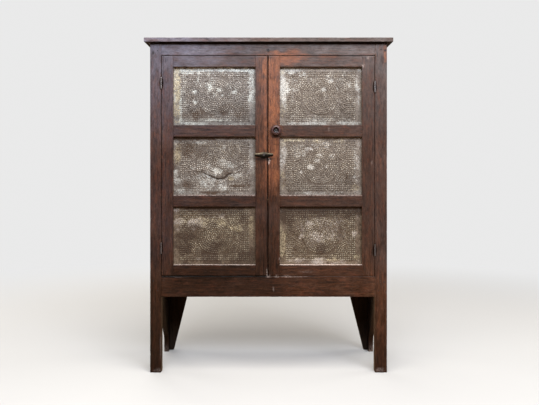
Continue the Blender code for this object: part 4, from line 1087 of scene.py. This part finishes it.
def build_turn_button():
    """A whittled bar, thick in the middle and thinning to its blunt ends, with its ridge above the middle."""
    low, high = box("turn_button")
    centre, half = (low + high) / 2, (high - low) / 2
    around = ((-1.0, 0.0), (-0.97, 0.28), (-0.86, 0.50), (-0.62, 0.68), (-0.34, 0.82), (-0.06, 0.92), (0.20, 0.98),
              (0.42, 1.0), (0.60, 0.96), (0.76, 0.84), (0.90, 0.62), (0.98, 0.34), (1.0, 0.0), (0.5, 0.0), (0.0, 0.0),
              (-0.5, 0.0))
    section_z, section_y = np.array(around).T
    stations = np.sin(np.linspace(-math.pi / 2, math.pi / 2, 41))
    verts, tone = [], []
    for s in stations:
        bell = math.exp(-(s / 0.40) ** 2)
        blunt = (1 - abs(s) ** 10) ** 0.5
        wide = half[Z] * (0.50 + 0.50 * bell) * blunt + 0.0006
        thick = 2 * half[Y] * (0.60 + 0.40 * bell) * (0.35 + 0.65 * blunt)
        verts.append(np.column_stack([np.full(len(around), centre[X] + s * half[X] * 0.995),
                                      high[Y] - 0.00005 - thick * section_y,
                                      centre[Z] + 0.0012 * (1 - bell) + wide * section_z]))
        # painted shade: the lower half, under the ridge, nearly black; along it, lightest at the left end
        lengthwise = 1.30 - 0.85 * smooth(-0.3, 0.0, s) + 0.40 * smooth(0.15, 0.45, s)
        tone.append(lengthwise * (0.04 + 0.96 * smooth(0.00, 0.65, section_z)))
    verts = jittered(np.vstack(verts), 0.00025, 0.011, 71)
    verts[:, Y] = np.minimum(verts[:, Y], high[Y])
    add_piece("turn_button_whittled", (verts, tube(len(stations), len(around))), "turn_button", "button_wood",
              BUTTON_WOOD, ("turn_button",), tone=np.concatenate(tone))
    at = middle_of("turn_button_screw")
    at[Y] = box("turn_button_screw")[0][Y] + 0.0022
    add_piece("turn_button_screw_head", screw_shape(at, FORWARD, 0.0043, 0.0020, 1.2), "turn_button", "screw_steel",
              DARK_STEEL, ("turn_button_screw",))


def build_inside_button():
    low, high = box("inside_button")

    def rounded(s):
        share = np.clip((s - low[X]) / (high[X] - low[X]), 0.0, 1.0)
        half = (high[Z] - low[Z]) / 2 * np.clip(1 - abs(2 * share - 1) ** 5, 0, 1) ** 0.5
        half, middle = np.maximum(half, 0.0035), (low[Z] + high[Z]) / 2
        return middle - half, middle + half
    board("inside_button", X, Y, profile=rounded, step=0.002, radius=0.0012, material=BARE_PINE, slot="button_wood",
          paint=paint_pine, seed=81, warp=0.0001)
    at = middle_of("inside_button_screw")
    at[Y] = box("inside_button_screw")[1][Y] - 0.0022
    add_piece("inside_button_screw_head", screw_shape(at, BACKWARD, 0.0043, 0.0020, 0.3), "inside_button",
              "screw_steel", SCREW_STEEL, ("inside_button_screw",))


def build_hinges():
    rounded = ((0.25, 0.0), (0.62, 0.006), (0.88, 0.017), (1.0, 0.030), (1.0, 0.5), (1.0, 0.970), (0.88, 0.983),
               (0.62, 0.994), (0.25, 1.0))
    for side in SIDES:
        for place in ("lower", "upper"):
            stem = "%s_%s_hinge_" % (side, place)
            for leaf in ("door_leaf", "post_leaf"):
                node = NODES[stem + leaf]
                node.data.materials.clear()
                node.data.materials.append(LEAF_IRON[place])
                bevel = node.modifiers.new("worn_arris", "BEVEL")
                bevel.width, bevel.segments, bevel.limit_method = 0.00025, 2, "ANGLE"
                bevel.angle_limit = math.radians(40)
            (low, high), at = box(stem + "pin"), middle_of(stem + "pin")
            at[Z] = low[Z]
            radius, length = (high[X] - low[X]) / 2 * 0.99, high[Z] - low[Z]
            add_piece(stem + "pin_worn", lathe([(radius * r, length * d) for r, d in rounded], at, UP, 20), "root",
                      "hinge_iron", PIN_IRON[place], (stem + "pin",))


def build_nails():
    rng = np.random.default_rng(7)
    spots = [((x + rng.normal(0, 0.001), BACK - SUNK, z + rng.normal(0, 0.001)), BACKWARD, 0.0036)
             for x, z in BACK_NAILS]
    add_nails("back_nails", spots, 0.0008, rng)

    places = [(x, y) for y in (-0.178, -0.09, -0.012, 0.03, 0.12, 0.205) for x in (-0.476, 0.476)]
    places += [(x, y) for y in (-0.178, 0.213) for x in (-0.30, -0.10, 0.10, 0.30)]
    top = box("top_board_front")[1][Z] - SUNK
    add_nails("top_nails", [((x, y, top), UP, 0.0030) for x, y in places], 0.0006, rng)

    outer = box("side_board_left")[0][X] + SUNK
    spots = [((-sign * outer, y + rng.normal(0, 0.004), z + rng.normal(0, 0.002)), (sign, 0, 0), 0.0028)
             for sign in (-1, 1) for z in NAIL_HEIGHTS for y in (-0.09, 0.05, 0.185)]
    add_nails("side_nails", spots, 0.0005, rng)

    pegs = ((0.0, 1.352, 0.0040), (-0.484, 1.343, 0.0028), (-0.466, 1.352, 0.0024), (0.472, 1.357, 0.0028),
            (0.489, 1.352, 0.0034), (-0.484, 0.385, 0.0028), (-0.466, 0.345, 0.0028), (0.462, 0.345, 0.0028),
            (0.485, 0.38, 0.0028))
    spots = [((x, FRONT + SUNK, z), FORWARD, radius) for x, z, radius in pegs]
    add_nails("joint_pegs", spots, 0.0005, rng, slot="old_finish", material=PEG_WOOD)


def build_tacks(side, seed):
    """Round-headed tacks that hold the tins' laps to the back of a door's frame."""
    rng = np.random.default_rng(seed)

    def spots():
        for row in ("lower", "middle", "upper"):
            low, high = box("%s_door_%s_tin" % (side, row))
            (left, right), (foot, head) = ((low[axis] + LAP / 2, high[axis] - LAP / 2) for axis in (X, Z))
            places = [(x, z) for x in np.linspace(left, right, 6) for z in (foot, head)]
            places += [(x, z) for z in np.linspace(foot, head, 5)[1:-1] for x in (left, right)]
            for x, z in places:
                yield (x + rng.normal(0, 0.0006), high[Y] - SUNK, z + rng.normal(0, 0.0006)), BACKWARD, 0.0023
    add_nails(side + "_door_tin_tacks", spots(), 0.0008, rng, side + "_door")


# ---------------------------------------------------------------- stage

ROOM_COLOUR = (0.82, 0.82, 0.82)


def area_light(name, at, target, size, power, colour):
    data = bpy.data.lights.new(name, "AREA")
    data.shape, data.size, data.size_y = "RECTANGLE", size[0], size[1]
    data.energy, data.color = power, colour
    lamp = bpy.data.objects.new(name, data)
    lamp.location = at
    lamp.rotation_euler = (Vector(target) - Vector(at)).to_track_quat("-Z", "Y").to_euler()
    bpy.context.scene.collection.objects.link(lamp)


def build_stage():
    half = 9.0
    mesh = bpy.data.meshes.new("floor")
    mesh.from_pydata([(-half, -half, 0), (half, -half, 0), (half, half, 0), (-half, half, 0)], [], [(0, 1, 2, 3)])
    floor = bpy.data.objects.new("floor", mesh)
    bpy.context.scene.collection.objects.link(floor)
    g = Graph("pale_floor")
    g.set(Base_Color=(0.66, 0.65, 0.63), Roughness=0.9, Specular_IOR_Level=0.1)
    away = g.node("VectorMath", g.place, operation="LENGTH").outputs["Value"]
    far = g.node("Emission", ROOM_COLOUR)
    faded = g.node("MixShader", g.ramp(away, 1.6, 3.6), g.shader.outputs[0], far.outputs[0])
    boards = g.node("BsdfDiffuse", (0.34, 0.22, 0.13))
    seen = g.node("LightPath").outputs["Is Camera Ray"]
    g.put(g.out.inputs[0], g.node("MixShader", seen, boards.outputs[0], faded.outputs[0]).outputs[0])
    mesh.materials.append(g.material)

    area_light("window_key", (0.9, -4.9, 3.3), (0, 0, 0.95), (4.8, 1.5), 330.0, (0.84, 0.89, 1.0))
    area_light("ceiling", (0.2, -1.5, 3.4), (0, 0, 0.7), (3.6, 2.4), 110.0, (1.0, 0.95, 0.88))
    area_light("back_fill", (-1.5, 4.5, 2.6), (0, 0, 0.7), (4.0, 2.6), 130.0, (1.0, 0.98, 0.95))
    for sign, side in zip((-1, 1), SIDES):
        area_light("side_fill_" + side, (sign * 4.2, 1.0, 2.2), (0, 0.1, 0.8), (2.4, 2.4), 55.0, (1.0, 0.98, 0.95))

    world = bpy.data.worlds.new("pale_room")
    world.use_nodes = True
    tree = world.node_tree
    tree.nodes.clear()
    path, soft, seen, mixed, out = (tree.nodes.new("ShaderNode" + kind) for kind in (
        "LightPath", "Background", "Background", "MixShader", "OutputWorld"))
    seen.inputs[0].default_value = ROOM_COLOUR + (1,)
    soft.inputs[0].default_value = (1.0, 0.95, 0.90, 1)
    soft.inputs[1].default_value = 0.13
    for index, socket in enumerate((path.outputs["Is Camera Ray"], soft.outputs[0], seen.outputs[0])):
        tree.links.new(socket, mixed.inputs[index])
    tree.links.new(mixed.outputs[0], out.inputs[0])
    bpy.context.scene.world = world
    bpy.context.scene.view_settings.view_transform = "Standard"


def build_camera():
    data = bpy.data.cameras.new("camera")
    data.sensor_width, data.lens = 36.0, 50.9
    data.shift_y = -38.5 / 539
    camera = bpy.data.objects.new("camera", data)
    camera.location = (0.004, FRONT - 3.2, 0.876)
    camera.rotation_euler = (math.pi / 2, 0, 0)
    bpy.context.scene.collection.objects.link(camera)
    bpy.context.scene.camera = camera


build_camera()
build_case()
for index, door_side in enumerate(SIDES):
    build_door(door_side, 41 + 10 * index)
    build_tacks(door_side, 17 + index)
for tin in TINS:
    build_tin(*tin)
build_knob()
build_turn_button()
build_inside_button()
build_hinges()
build_nails()
build_stage()
